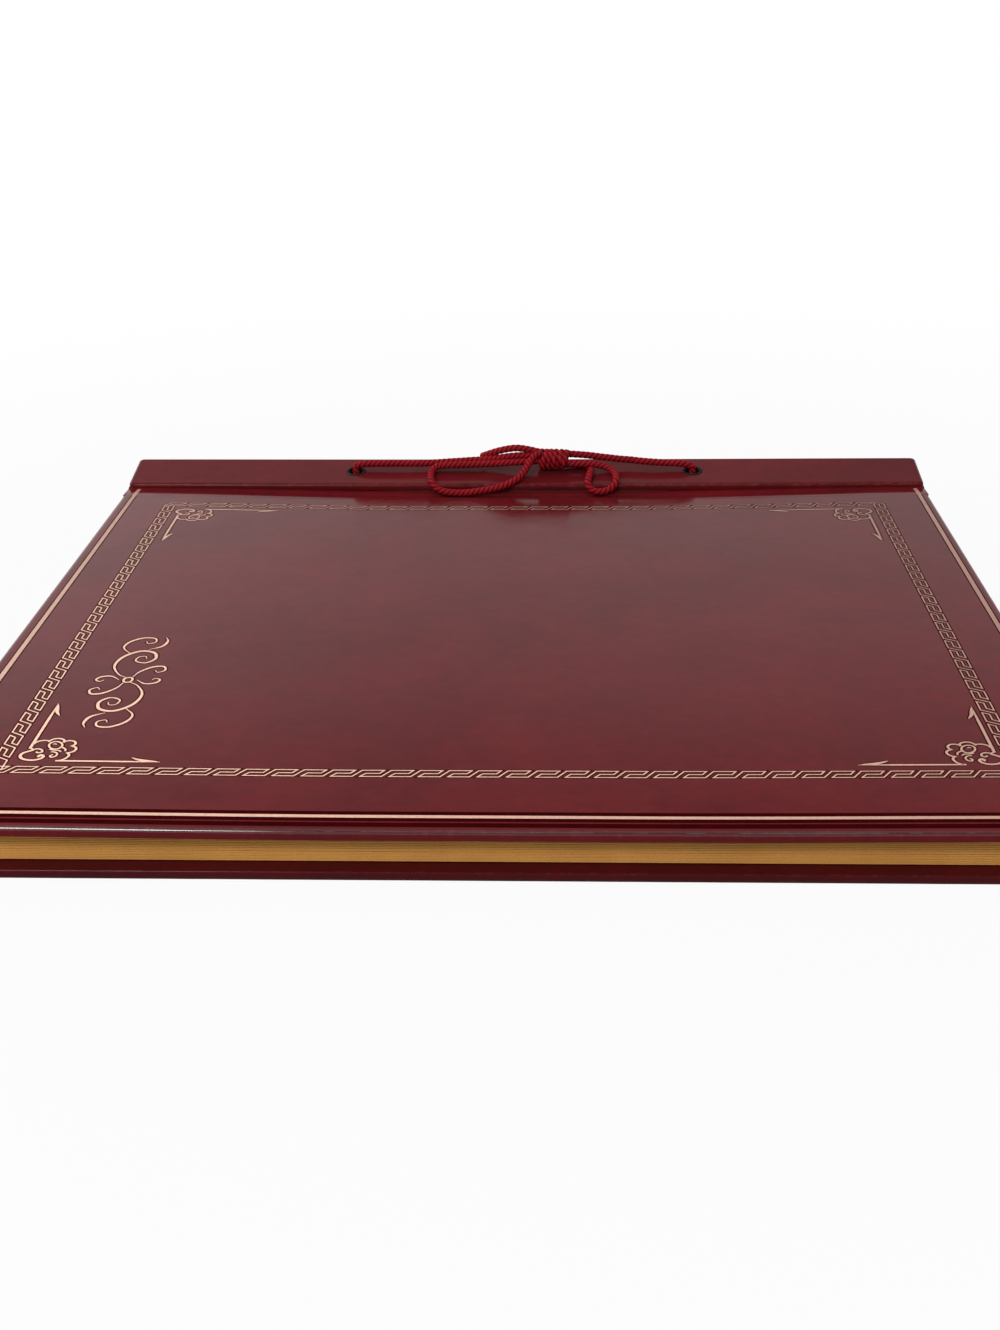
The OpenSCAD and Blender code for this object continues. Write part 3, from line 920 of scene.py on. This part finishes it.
class SCRAPBOOK_OT_cord(bpy.types.Operator):
    """Build the lacing cord, its bow and its knot"""
    bl_idname = "scrapbook.cord"
    bl_label = "Cord and bow"

    def execute(self, context):
        knot = self.knot()
        free_cord("lacing_left_run", "cord_left_run", bow_path(LEFT_RUN))
        free_cord("lacing_right_run", "cord_right_run", bow_path(RIGHT_RUN[::-1]))
        free_cord("bow_left_loop_cord", "bow_left_loop", eased(bow_path(LEFT_LOOP)))
        free_cord("bow_right_loop_cord", "bow_right_loop", eased(bow_path(RIGHT_LOOP)))
        free_cord("bow_tail_cord", "bow_tail_end", bow_path(BOW_TAIL),
                  round_ends=(False, True))
        free_cord("lacing_back_run", "cord_back_run", bow_path(BACK_RUN))
        return {"FINISHED"}

    def knot(self):
        """Five tight turns of the cord round the strands that meet in the bow, in
        millimetres of the routes' own frame."""
        wraps, reach, width = 5, 3.1, 11.2
        middle = (13.2, 15.2, 5.1)
        route = [(7.4, 16.6, 3.0), (7.6, 17.4, 5.2)]
        steps = 14 * wraps
        for k in range(steps + 1):
            a = math.radians(80 - 360 * k * wraps / steps)
            x = middle[0] - width / 2 + width * k / steps + 0.5 * math.sin(a)
            swell = 1 + 0.07 * math.sin(2.3 * k)
            route.append((x, middle[1] + reach * swell * math.cos(a),
                          middle[2] + reach * swell * math.sin(a)))
        route += [(18.8, 17.6, 5.7), (19.0, 16.6, 3.5)]
        knot = strand_tube("bow_knot_turns", bow_path(route, 0.4 * MM), cord_fibre(), 1.0,
                           (True, True))
        return settle(knot, "binding", "cord", "bow_knot")


# The covers

def give_fore_edge_gloss_and_shade(leather):
    """Gives the rounded part of the fore edge its glossier finish, darkened with painted shade."""
    skin = leather.data
    reach = FORE_Y + bpy.context.scene.scrapbook_covers.edge_round
    worn = skin.attributes["edge_wear"].data
    skin.materials.append(gloss_with_painted_shade())
    for face in skin.polygons:
        if face.center.y < reach and min(worn[v].value for v in face.vertices) > 0.3:
            face.material_index = 1


def cover_pieces(side):
    """The wide part of one cover, with z as the depth below its outer face. The front one is
    the back one turned over and warped."""
    covers = bpy.context.scene.scrapbook_covers
    body, front = side + "_cover", side == "front"

    def place(x, y, z):
        return Vector((x, y, cover_top(x, y) - z if front else z))

    def wavy(x, y, z):
        """The same, with the edge's small unevenness, and never below the back cover's face."""
        margin, wander, size, size_z = 2 * MM, 0.10 * MM, 9 * MM, 3 * MM
        edge = max(abs(x) - HALF_W, FORE_Y - y, y - BOARD_Y) + margin
        if edge > 0:
            shift = wander * noise.noise(Vector((x / size, y / size, z / size_z + 7)))
            z += shift * min(1, edge / margin) * (0.4 if z < MM else 0.7)
        return place(x, y, z if front else max(z, 0.0))

    corner = covers.corner_round
    round_inner = (0.35 if front else 0.8) * MM
    # The back cover's leatherette is darkened all over as painted shade
    leather = layer(
        side + "_cover_leather", (HALF_W, FORE_Y, BOARD_Y, corner),
        skin_profile(corner, covers.edge_round, round_inner, TURN_IN), (120, 104), wavy,
        leatherette() if front else painted_shade_leatherette(), keep_wear=True)
    # The fore edge's rounding gets a glossier finish, darkened with painted shade
    if front:
        give_fore_edge_gloss_and_shade(leather)
    settle(leather, body, "leatherette", side + "_leatherette")

    core = layer(
        side + "_cover_core",
        (HALF_W - LEATHER_T, FORE_Y + LEATHER_T, BOARD_Y - LEATHER_T, corner),
        plain_profile(corner, SKIN_T - LEATHER_T, LEATHER_T), (24, 22), place, grey_board())
    settle(core, body, "grey_board", side + "_board")

    lap_y = BOARD_Y - CLOTH_LAP
    thin = plain_profile(LINING_CORNER, COVER_T, SKIN_T - FACE_GAP)
    for name, y0, y1, rows, finish, slot in (
            ("lining", FORE_Y + LINING_INSET, lap_y, 40, lining_paper(), "lining_paper"),
            ("hinge_cloth", lap_y, BOARD_Y - 0.1 * MM, 6, hinge_cloth(), "hinge_cloth")):
        inner = layer(
            side + "_cover_" + name, (HALF_W - LINING_INSET, y0, y1, LINING_CORNER), thin,
            (60, rows), place, finish)
        settle(inner, body, slot, side + "_" + name)


class SCRAPBOOK_OT_front_cover(bpy.types.Operator):
    """Build the front cover's leatherette, board, lining and inner cloth"""
    bl_idname = "scrapbook.front_cover"
    bl_label = "Front cover"

    def execute(self, context):
        cover_pieces("front")
        return {"FINISHED"}


class SCRAPBOOK_OT_back_cover(bpy.types.Operator):
    """Build the back cover's leatherette, board, lining and inner cloth"""
    bl_idname = "scrapbook.back_cover"
    bl_label = "Back cover"

    def execute(self, context):
        cover_pieces("back")
        return {"FINISHED"}


# The binding strips and the grooves beside them

def strip_pieces(side):
    """One binding strip: its leatherette, board and lining, all bored for the cord."""
    covers = bpy.context.scene.scrapbook_covers
    front = side == "front"

    def place(x, s, depth):
        if front:
            return on_slope(x, s, STRIP_H - depth) + Vector((0, 0, strip_dish(x, s)))
        return on_slope(x, s, depth - COVER_T)

    corner = covers.corner_round
    bored = (GUARDS_T - 2 * MM, STRIP_H + 3 * MM) if front else (-COVER_T - 3 * MM, 2 * MM)
    leather = layer(
        side + "_strip_leather", (HALF_W, 0, STRIP_D, corner),
        skin_profile(corner, covers.edge_round, 0.7 * MM, STRIP_TURN_IN), (120, 12), place,
        leatherette(), keep_wear=True, bored=bored)
    settle(leather, "binding", "leatherette", side + "_strip_leatherette")

    core = layer(
        side + "_strip_core", (HALF_W - LEATHER_T, LEATHER_T, STRIP_D - LEATHER_T, corner),
        plain_profile(corner, SKIN_T - LEATHER_T, LEATHER_T), (60, 6), place, grey_board(),
        bored=bored)
    settle(core, "binding", "grey_board", side + "_strip_board")

    lining = layer(
        side + "_strip_cloth",
        (HALF_W - LINING_INSET, 0.3 * MM, STRIP_D - LINING_INSET, LINING_CORNER),
        plain_profile(LINING_CORNER, COVER_T, SKIN_T - FACE_GAP), (60, 6), place,
        hinge_cloth(), bored=bored)
    settle(lining, "binding", "hinge_cloth", side + "_strip_lining")


def eyelet_rims(side):
    """Two rolled metal rings, one round each lacing hole of a strip."""
    front = side == "front"
    rise, wall = 0.42 * MM, 0.4 * MM
    middle, reach = (EYELET_R + EYELET_RIM) / 2, (EYELET_RIM - EYELET_R) / 2
    lip = [(EYELET_R, 0.0)]
    for k in range(9):
        a = math.pi - math.pi * k / 8
        lip.append((middle + reach * math.cos(a), COVER_T + rise * math.sin(a) - FACE_GAP))
    lip += [(EYELET_R + wall, COVER_T - 0.1 * MM), (EYELET_R + wall, 0.0)]
    points, faces, count = [], [], 48
    for hole in (-1, 1):
        base = len(points)
        for k in range(count):
            a = 2 * math.pi * k / count
            for r, h in lip:
                x, s = hole * HOLE_X + r * math.cos(a), HOLE_S + r * math.sin(a)
                warp = strip_dish(x, s) if front else 0
                points.append(on_slope(x, s, GUARDS_T + h if front else -h) + Vector((0, 0, warp)))
        rows = len(lip)
        for k in range(count):
            a, b = base + k * rows, base + (k + 1) % count * rows
            for m in range(rows):
                n = (m + 1) % rows
                faces.append([a + m, a + n, b + n, b + m])
    rims = make_piece(side + "_eyelet_rims", points, faces, black_enamel(), sharp=50)
    settle(rims, "binding", "eyelet", side + "_eyelets")


def bend_with_cover(skin, side, slot):
    """Bakes a skin's placement into its mesh."""
    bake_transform(skin)


def front_groove(x, start, drop):
    """A line of points from the front board down into the groove and up to the strip's foot."""
    covers = bpy.context.scene.scrapbook_covers
    middle = 1 - smooth(0.3, 1.0, abs(x) / HALF_W)
    depth = covers.valley_end + (covers.valley_mid - covers.valley_end) * middle
    low_y = VALLEY_END_Y + (VALLEY_MID_Y - VALLEY_END_Y) * middle
    stop, climb = FOOT_Y + 0.5 * MM, 0.35 * MM
    points = []
    for k in range(29):
        y = start + (stop - start) * k / 28
        fall = depth * smooth(VALLEY_FROM, low_y, y)
        if y > low_y:
            fall = depth - (depth + climb) * smooth(low_y, stop, y)
        points.append(Vector((x, y, ALBUM_T + FACE_GAP - fall - drop + dish(x, y))))
    return points


def back_groove(x, start, drop):
    """A line of points from the back board up to the strip's foot and a little way inside."""
    edge = on_slope(0, 0, -COVER_T)
    points = []
    for k in range(25):
        y = start + (edge.y - start) * k / 24
        rise = edge.z * smooth(HINGE_Y, edge.y + 6 * MM, y) * 1.32
        points.append(Vector((x, y, min(edge.z, rise))))
    points += [on_slope(x, s * MM, h * MM - COVER_T) for s, h in ((0.3, 0.2), (0.7, 0.45))]
    return [p + Vector((0, 0, drop)) for p in points]


def groove_pieces(side):
    """The leatherette across the groove and the cloth inside it."""
    front, across = side == "front", 72
    leather_t, cloth_t, cloth_drop = 0.38 * MM, 0.15 * MM, 0.42 * MM
    for name, start, drop, half, thick, finish, slot in (
            ("_groove_leather", SKIN_FROM, 0.0 if front else leather_t, HALF_W - 0.05 * MM,
             leather_t, leatherette(), "leatherette"),
            ("_groove_cloth", BOARD_Y + 0.1 * MM, cloth_drop, HALF_W - LINING_INSET,
             cloth_t, hinge_cloth(), "hinge_cloth")):
        line = front_groove if front else back_groove
        columns = [line(-half + 2 * half * k / across, start, drop) for k in range(across + 1)]
        points, faces = sheet_strip(columns, thick)
        skin = make_piece(side + name, points, faces, finish, wear=[0.0] * len(points))
        bend_with_cover(skin, side, slot)


class SCRAPBOOK_OT_strips(bpy.types.Operator):
    """Build both binding strips, their eyelets and the grooves beside them"""
    bl_idname = "scrapbook.strips"
    bl_label = "Binding strips"

    def execute(self, context):
        for side in ("front", "back"):
            strip_pieces(side)
            eyelet_rims(side)
            groove_pieces(side)
        return {"FINISHED"}


# Gilt tooling

KEY_UNIT = ((0.80, 1.0), (0.65, 0.5), (0.18, 0.5), (0.0, 0.0), (0.73, 0.0), (1.04, 1.0))


def ellipse(middle, rx, ry, steps):
    """Points once round an ellipse."""
    turns = [2 * math.pi * k / steps for k in range(steps + 1)]
    return [(middle[0] + rx * math.cos(a), middle[1] + ry * math.sin(a)) for a in turns]


def key_run(foil, start, along, inward, length):
    """One side of the key border, drawn as a single line."""
    gilt = bpy.context.scene.scrapbook_gilt
    count = round(length / gilt.key_repeat)
    repeat, band = length / count, gilt.key_band
    start, along, inward = Vector(start), Vector(along), Vector(inward)
    path = [start + inward * band + along * repeat * 0.04]
    for k in range(count):
        for u, v in KEY_UNIT:
            path.append(start + along * repeat * (k + u) + inward * band * v)
    foil.line(path, gilt.key_line)


ROSETTE = (
    ([(0.2, 11.6), (0.9, 13.2), (2.2, 14.2), (3.9, 14.3), (4.9, 13.5)], 1.0),
    ([(4.5, 14.0), (5.6, 15.4), (7.1, 15.9), (8.6, 15.3), (9.4, 14.1), (9.3, 13.0)], 1.0),
    ([(9.5, 13.7), (10.8, 14.4), (12.2, 14.1), (13.2, 12.9), (13.2, 11.4), (12.3, 10.3)], 1.0),
    ([(12.6, 10.5), (14.0, 9.6), (14.5, 8.1), (14.0, 6.6), (12.9, 5.7), (12.0, 5.6)], 1.0),
    ([(12.7, 5.4), (13.4, 4.0), (13.1, 2.2), (12.3, 0.9), (11.0, 0.0)], 1.0),
    ([(7.4 + 2.1 * math.cos(a) - 0.5 * math.sin(a), 10.9 + 2.7 * math.sin(a))
      for a in [2 * math.pi * k / 16 for k in range(17)]], 0.85),
    ([(6.4, 11.6), (7.0, 12.0), (7.5, 11.5)], 0.7),
    ([(9.0, 9.8), (10.3, 9.1), (11.3, 8.0), (11.4, 6.8)], 0.8),
    ([(6.2, 8.2), (7.6, 7.4), (9.2, 7.3), (10.2, 6.4)], 0.8),
    ([(7.2, 6.2), (8.5, 6.0), (9.5, 4.8), (9.3, 3.0), (8.2, 2.4), (7.6, 3.4), (8.3, 4.2)], 0.8),
    ([(0.1, 8.6), (1.2, 7.9), (2.9, 8.2), (4.2, 7.2), (4.3, 5.9), (3.3, 5.4), (2.6, 6.1)], 0.9),
    ([(1.4, 7.4), (0.2, 6.4), (-1.0, 5.4), (-1.6, 3.8), (-1.0, 1.8), (0.8, 0.5), (3.2, 0.2),
      (5.2, 1.3), (5.7, 2.9), (4.8, 3.9), (4.1, 3.1), (4.6, 2.5)], 1.25),
)


def scroll_corner(foil, corner, sx, sy):
    """A lobed scroll in a corner with a barbed line along each side, in millimetres from the
    point where the two lines would meet."""
    line = bpy.context.scene.scrapbook_gilt.scroll_line

    def put(points, widths):
        foil.line([(corner[0] + sx * x * MM, corner[1] + sy * y * MM) for x, y in points], widths)

    for route, width in ROSETTE:
        put([tuple(p[:2]) for p in through([(x, y, 0) for x, y in route], 0.45)], line * width)
    barb = through([(0.3, 41.4, 0), (0.75, 38, 0), (1.4, 35.6, 0), (2.7, 33.2, 0)], 0.8)
    last, tip = len(barb) - 1, 42.4
    for flip, foot in ((False, 8.3), (True, 10.2)):
        arm = [(0, foot + (tip - foot) * k / 12) for k in range(13)]
        put([(y, x) if flip else (x, y) for x, y in arm],
            [line * (1.2 - 0.8 * max(0, k - 8) / 4) for k in range(13)])
        put([(p.y, p.x) if flip else (p.x, p.y) for p in barb],
            [line * (0.4 + 1.1 * math.sin(math.pi * k / last) ** 0.8) for k in range(last + 1)])


FLOURISH = (
    ([(1.6, 0.8), (5, 5.2), (12, 8.6), (20, 7.2), (25.4, 1.6), (24.2, -4.4), (18.8, -6.2),
      (15, -3.0), (16.6, 1.2), (20.2, 0.8), (20.8, -1.8), (18.8, -2.6)], 0.55, 1.7),
    ([(23.2, 5.2), (28.4, 9.2), (34, 8.0), (37.8, 3.2), (37.4, -1.6), (34, -2.6), (32.6, 0.2),
      (34.4, 1.2)], 0.5, 1.4),
    ([(2.4, -1.2), (7, -2.8), (11.4, -7.0), (12.0, -11.2), (8.8, -12.6), (6.8, -10.2),
      (8.4, -8.8)], 0.5, 1.4),
    ([(27.0, -1.4), (30.2, -6.2), (35.2, -7.4), (38.4, -6.0)], 0.4, 1.5),
    ([(0.0, 3.6), (3.0, 7.4), (2.2, 11.4), (-0.4, 12.6), (-1.6, 10.6), (-0.2, 9.4)], 0.45, 1.25),
)


def flourish(foil, middle):
    """A penman's scroll in gilt with no letters in it, the same after half a turn."""
    for route, thin, thick in FLOURISH:
        curve = through([(x, y, 0) for x, y in route], 0.7)
        last = len(curve) - 1
        widths = [(thin + (thick - thin) * math.sin(math.pi * k / last) ** 1.4) * 0.75 * MM
                  for k in range(last + 1)]
        for turn in (1, -1):
            path = [(middle[0] + turn * p.y * 0.86 * MM, middle[1] - turn * p.x * MM)
                    for p in curve]
            foil.line(path, widths)
    foil.line(ellipse(middle, 1.5 * MM, 2.1 * MM, 24), 0.8 * MM)


class SCRAPBOOK_OT_gilt(bpy.types.Operator):
    """Stamp the fillet, the key border, the corner scrolls and the flourish in gilt"""
    bl_idname = "scrapbook.gilt"
    bl_label = "Gilt tooling"

    def execute(self, context):
        gilt = context.scene.scrapbook_gilt
        worn = gilt_foil("rubbed_gilt_foil", 0.35)
        self.fillet(gilt, worn)
        x1, band = HALF_W - gilt.key_side, gilt.key_band
        y1, y2 = FORE_Y + gilt.key_fore, FORE_Y + gilt.key_far
        self.key_border(gilt, x1, y1, y2, band)

        # The near scrolls stand a little further towards the head than the far ones
        scrolls = Foil(cover_top).with_bed(gilt.bed_margin)
        gap = band + 4.2 * MM
        for sx, shift in ((1, 0.5 * MM), (-1, 1.7 * MM)):
            scroll_corner(scrolls, (-sx * (x1 - gap) + shift, y1 + gap), sx, 1)
            scroll_corner(scrolls, (-sx * (x1 - gap), y2 - gap), sx, -1)
        self.stamp(scrolls, "gilt_corner_scrolls", gilt_foil())

        from_side, from_fore = 23 * MM, 67 * MM
        title = Foil(cover_top).with_bed(gilt.bed_margin)
        flourish(title, (-x1 + band + from_side, y1 + band + from_fore))
        self.stamp(title, "gilt_flourish", gilt_foil())

        self.fillet_ends(gilt, worn)
        return {"FINISHED"}

    def stamp(self, foil, name, finish):
        """The foil and the leather pressed down round it, dark with painted shade, riding on the
        front cover.
        """
        settle(foil.piece(name, finish), "front_cover", "leatherette")
        if foil.bed:
            pressed = foil.bed.piece(name + "_bed", stamped_shade_leather())
            settle(pressed, "front_cover", "leatherette")

    def fillet(self, gilt, finish):
        """The plain line along three sides, and strips of painted shade on both sides of it at the
        fore edge."""
        fillet = Foil(cover_top).with_bed(gilt.bed_margin)
        x0, y0 = HALF_W - gilt.fillet_side, FORE_Y + gilt.fillet_fore
        side = [y0 + (SKIN_FROM - y0) * k / 80 for k in range(81)]
        row = [x0 * (2 * k / 90 - 1) for k in range(91)]
        left = -x0 + gilt.fillet_skew
        path = [(left, y) for y in side[::-1]] + [(x, y0) for x in row[1:-1]]
        fillet.line(path + [(x0, y) for y in side], gilt.fillet_width)
        # Dark strips beside the fillet at the fore edge: painted shade
        shade_strips = Foil(cover_top, lift=0.012 * MM)
        for off, width in ((1.9 * MM, 2.3 * MM), (-3.4 * MM, 5.4 * MM)):
            shade_strips.line([(x, y0 + off) for x in row], width)
        self.stamp(shade_strips, "gilt_fillet_shade_strips", stamped_shade_leather())
        self.stamp(fillet, "gilt_fillet", finish)

    def key_border(self, gilt, x1, y1, y2, band):
        """The key border's four sides. The near one starts a little outside the corner."""
        keys, early = Foil(cover_top).with_bed(gilt.bed_margin), 1.0 * MM
        long, short = 2 * x1 - band, y2 - y1 - band
        key_run(keys, (-x1 - early, y1), (1, 0), (0, 1), long)
        key_run(keys, (x1, y1 + band), (0, 1), (-1, 0), short)
        key_run(keys, (x1 - band, y2), (-1, 0), (0, -1), long)
        key_run(keys, (-x1, y2 - band), (0, -1), (1, 0), short)
        self.stamp(keys, "gilt_key_border", gilt_foil())

    def fillet_ends(self, gilt, finish):
        """The fillet's last stretches, over the hinge and up to the strip's foot."""
        valley = bpy.context.scene.scrapbook_covers.valley_end

        def surface(x, y):
            fall = valley * smooth(VALLEY_FROM, VALLEY_END_Y, y)
            return ALBUM_T + FACE_GAP - fall + dish(x, y)

        x0, stop = HALF_W - gilt.fillet_side, FOOT_Y - 1.0 * MM
        for side, x in (("tail", -x0 + gilt.fillet_skew), ("head", x0)):
            foil = Foil(surface)
            path = [(x, SKIN_FROM + (stop - SKIN_FROM) * k / 12) for k in range(13)]
            foil.line(path, gilt.fillet_width)
            piece = foil.piece("gilt_fillet_" + side + "_end", finish)
            bend_with_cover(piece, "front", "leatherette")


# The leaves

class SCRAPBOOK_OT_leaves(bpy.types.Operator):
    """Build the leaves"""
    bl_idname = "scrapbook.leaves"
    bl_label = "Leaves"

    def execute(self, context):
        leaves = context.scene.scrapbook_leaves
        chance = random.Random(LEAF_SEED)
        finish = leaf_paper()
        corner, trim, overlap, spare = 0.8 * MM, 0.2 * MM, 0.22 * MM, 0.07 * MM
        for i in range(leaves.count):
            name = f"leaf_{i + 1:02d}"
            low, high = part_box(name)
            edge = chance.uniform(-0.5, 0.5) * leaves.stagger
            ends = chance.uniform(-0.3, 0.3) * MM
            share = (i + 1) / (leaves.count + 1)
            seed = chance.uniform(0, 50)

            def place(x, y, z, share=share, seed=seed, ends=ends):
                wave = cockle(x, y, 1.7, 90 * MM, leaves.cockle)
                own = cockle(x, y, seed, 45 * MM, leaves.cockle * 0.6)
                fade = smooth(high.y, high.y - 12 * MM, y) if y < high.y else 0
                lift = dish(x, y) * share * smooth(-high.y, -high.y + 60 * MM, -y)
                return Vector((x + ends, y, z + (wave + own) * fade + lift))

            page = layer(
                f"page_{i + 1:02d}",
                (high.x - trim, low.y + edge + trim, high.y + overlap, corner),
                plain_profile(corner, low.z - spare, high.z + spare), (40, 36), place, finish,
                keep_wear=True)
            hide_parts(name)
            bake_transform(page)
        return {"FINISHED"}


class SCRAPBOOK_OT_guards(bpy.types.Operator):
    """Give the folded guards under the strips their paper"""
    bl_idname = "scrapbook.guards"
    bl_label = "Guards"

    def execute(self, context):
        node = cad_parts["leaf_guards"]
        node.data.materials.clear()
        node.data.materials.append(leaf_paper("tan_guard_paper", solid=True))
        return {"FINISHED"}


# Camera, floor and light

class SCRAPBOOK_OT_camera(bpy.types.Operator):
    """Stand the camera at the photograph's place"""
    bl_idname = "scrapbook.camera"
    bl_label = "Camera"

    def execute(self, context):
        stage = context.scene.scrapbook_stage
        pitch, left, roll = (math.radians(a) for a in stage.camera_turn)
        ahead = Vector((-math.sin(left) * math.cos(pitch), math.cos(left) * math.cos(pitch),
                        -math.sin(pitch)))
        level = Vector((math.cos(left), math.sin(left), 0))
        up = level.cross(ahead)
        right = level * math.cos(roll) + up * math.sin(roll)
        up = up * math.cos(roll) - level * math.sin(roll)
        lens = bpy.data.cameras.new("camera")
        lens.sensor_width = 36
        lens.lens = stage.focal * lens.sensor_width / stage.picture
        lens.clip_start = 0.01
        camera = bpy.data.objects.new("camera", lens)
        turned = Matrix((right, up, -ahead)).transposed().to_4x4()
        camera.matrix_world = Matrix.Translation(stage.camera_place) @ turned
        context.scene.collection.objects.link(camera)
        context.scene.camera = camera
        return {"FINISHED"}


def soft_lamp(name, place, aim, size, power):
    """A rectangular lamp that shines from a place to the aim."""
    lamp = bpy.data.lights.new(name, "AREA")
    lamp.shape = "RECTANGLE"
    lamp.size, lamp.size_y = size
    lamp.energy = power
    holder = bpy.data.objects.new(name, lamp)
    holder.location = place
    holder.rotation_mode = "QUATERNION"
    holder.rotation_quaternion = (Vector(aim) - Vector(place)).to_track_quat("-Z", "Y")
    bpy.context.scene.collection.objects.link(holder)


def seen_by_eye(tree):
    """1 for what the camera sees straight, mirrored or through glass."""
    path = add(tree, "ShaderNodeLightPath")
    shown = path.outputs["Is Camera Ray"]
    for kind in ("Is Glossy Ray", "Is Transmission Ray"):
        shown = add(tree, "ShaderNodeMath", {0: shown, 1: path.outputs[kind]},
                    operation="MAXIMUM").outputs[0]
    return shown


class SCRAPBOOK_OT_stage(bpy.types.Operator):
    """Lay the pale floor and set the studio's light"""
    bl_idname = "scrapbook.stage"
    bl_label = "Stage"

    def execute(self, context):
        self.floor(context.scene.scrapbook_stage.floor)
        self.room(context.scene)
        soft_lamp("rear_lamp", (-1.3, 0.75, 1.15), (0, 0, 0), (0.6, 0.6), 11)
        soft_lamp("front_lamp", (-0.47, -1.0, 0.88), (-0.05, -0.15, 0), (0.37, 0.34), 9)
        context.scene.view_settings.view_transform = "Standard"
        return {"FINISHED"}

    def floor(self, colour):
        """A wide floor just under the book, white to the eye but for the book's shade."""
        mesh = bpy.data.meshes.new("floor")
        reach, low = 4.0, -0.05 * MM
        mesh.from_pydata([(-reach, -reach, low), (reach, -reach, low), (reach, reach, low),
                          (-reach, reach, low)], [], [(0, 1, 2, 3)])
        floor = bpy.data.objects.new("floor", mesh)
        bpy.context.scene.collection.objects.link(floor)
        finish, tree, shader = new_finish("floor_paper")
        set_shader(tree, shader, Base_Color=colour, Roughness=0.9, Specular_IOR_Level=0.1)
        away = add(tree, "ShaderNodeVectorMath", {0: rest_place(tree, True)}, operation="LENGTH")
        plain = ramp(tree, away.outputs["Value"], [(0.25, 0.94), (0.7, 1.0)])
        share = mixed(tree, seen_by_eye(tree), (0, 0, 0), plain)
        white = add(tree, "ShaderNodeEmission", {"Color": (1, 1, 1, 1), "Strength": 1.0})
        both = add(tree, "ShaderNodeMixShader", {
            0: share, 1: shader.outputs["BSDF"], 2: white.outputs[0]})
        output = tree.nodes["Material Output"]
        tree.links.new(both.outputs[0], output.inputs["Surface"])
        mesh.materials.append(finish)

    def room(self, scene):
        """White behind the book, and for reflections a pale horizon under a dimmer ceiling."""
        world = bpy.data.worlds.new("room")
        scene.world = world
        world.use_nodes = True
        tree = world.node_tree
        path = add(tree, "ShaderNodeLightPath")
        way = add(tree, "ShaderNodeSeparateXYZ", {
            "Vector": add(tree, "ShaderNodeTexCoord").outputs["Generated"]})
        up = way.outputs["Z"]
        leftward = add(tree, "ShaderNodeMath", {0: way.outputs["X"], 1: -1.0},
                       operation="MULTIPLY").outputs[0]
        mirrored = ramp(tree, up, [
            (0.0, 1.0), (0.3, 0.9), (0.4, 0.9), (0.45, 0.45), (0.5, 0.1), (0.55, 0.4),
            (0.6, 0.8), (0.8, 0.7)])
        window = mixed(tree, 1.0, mirrored, (1.6, 1.6, 1.6), "MULTIPLY")
        mirrored = mixed(tree, ramp(tree, leftward, [(0.08, 0), (0.3, 1)]), mirrored, window)
        spread = ramp(tree, up, [(0.0, 0.3), (0.5, 0.6), (1.0, 0.9)])
        shade = mixed(tree, path.outputs["Is Glossy Ray"], spread, mirrored)
        clear = add(tree, "ShaderNodeMath", {
            0: path.outputs["Is Camera Ray"], 1: path.outputs["Is Transmission Ray"]},
            operation="MAXIMUM").outputs[0]
        shade = mixed(tree, clear, shade, (1, 1, 1))
        background = tree.nodes["Background"]
        tree.links.new(shade, background.inputs["Color"])
        background.inputs["Strength"].default_value = 1.0


# The add-on

OPERATORS = (
    SCRAPBOOK_OT_camera, SCRAPBOOK_OT_cord, SCRAPBOOK_OT_front_cover,
    SCRAPBOOK_OT_back_cover, SCRAPBOOK_OT_strips, SCRAPBOOK_OT_gilt, SCRAPBOOK_OT_leaves,
    SCRAPBOOK_OT_guards, SCRAPBOOK_OT_stage)
SETTINGS = {
    "scrapbook_covers": CoverSettings,
    "scrapbook_gilt": GiltSettings,
    "scrapbook_leaves": LeafSettings,
    "scrapbook_cord": CordSettings,
    "scrapbook_stage": StageSettings,
}


class SCRAPBOOK_PT_panel(bpy.types.Panel):
    """Lists the scrapbook's pieces and their settings"""
    bl_idname = "SCRAPBOOK_PT_panel"
    bl_label = "Scrapbook"
    bl_space_type = "VIEW_3D"
    bl_region_type = "UI"
    bl_category = "Scrapbook"

    def draw(self, context):
        for operator in OPERATORS:
            self.layout.operator(operator.bl_idname)
        for name, group in SETTINGS.items():
            box = self.layout.box()
            for field in group.__annotations__:
                box.prop(getattr(context.scene, name), field)


def register():
    for group in SETTINGS.values():
        bpy.utils.register_class(group)
    for name, group in SETTINGS.items():
        setattr(bpy.types.Scene, name, PointerProperty(type=group))
    for part in (*OPERATORS, SCRAPBOOK_PT_panel):
        bpy.utils.register_class(part)


def unregister():
    for part in (*OPERATORS, SCRAPBOOK_PT_panel):
        bpy.utils.unregister_class(part)
    for name in SETTINGS:
        delattr(bpy.types.Scene, name)
    for group in SETTINGS.values():
        bpy.utils.unregister_class(group)


def main():
    """Builds every piece in order."""
    register()
    for operator in OPERATORS:
        group, name = operator.bl_idname.split(".")
        getattr(getattr(bpy.ops, group), name)()


if __name__ == "__main__":
    main()
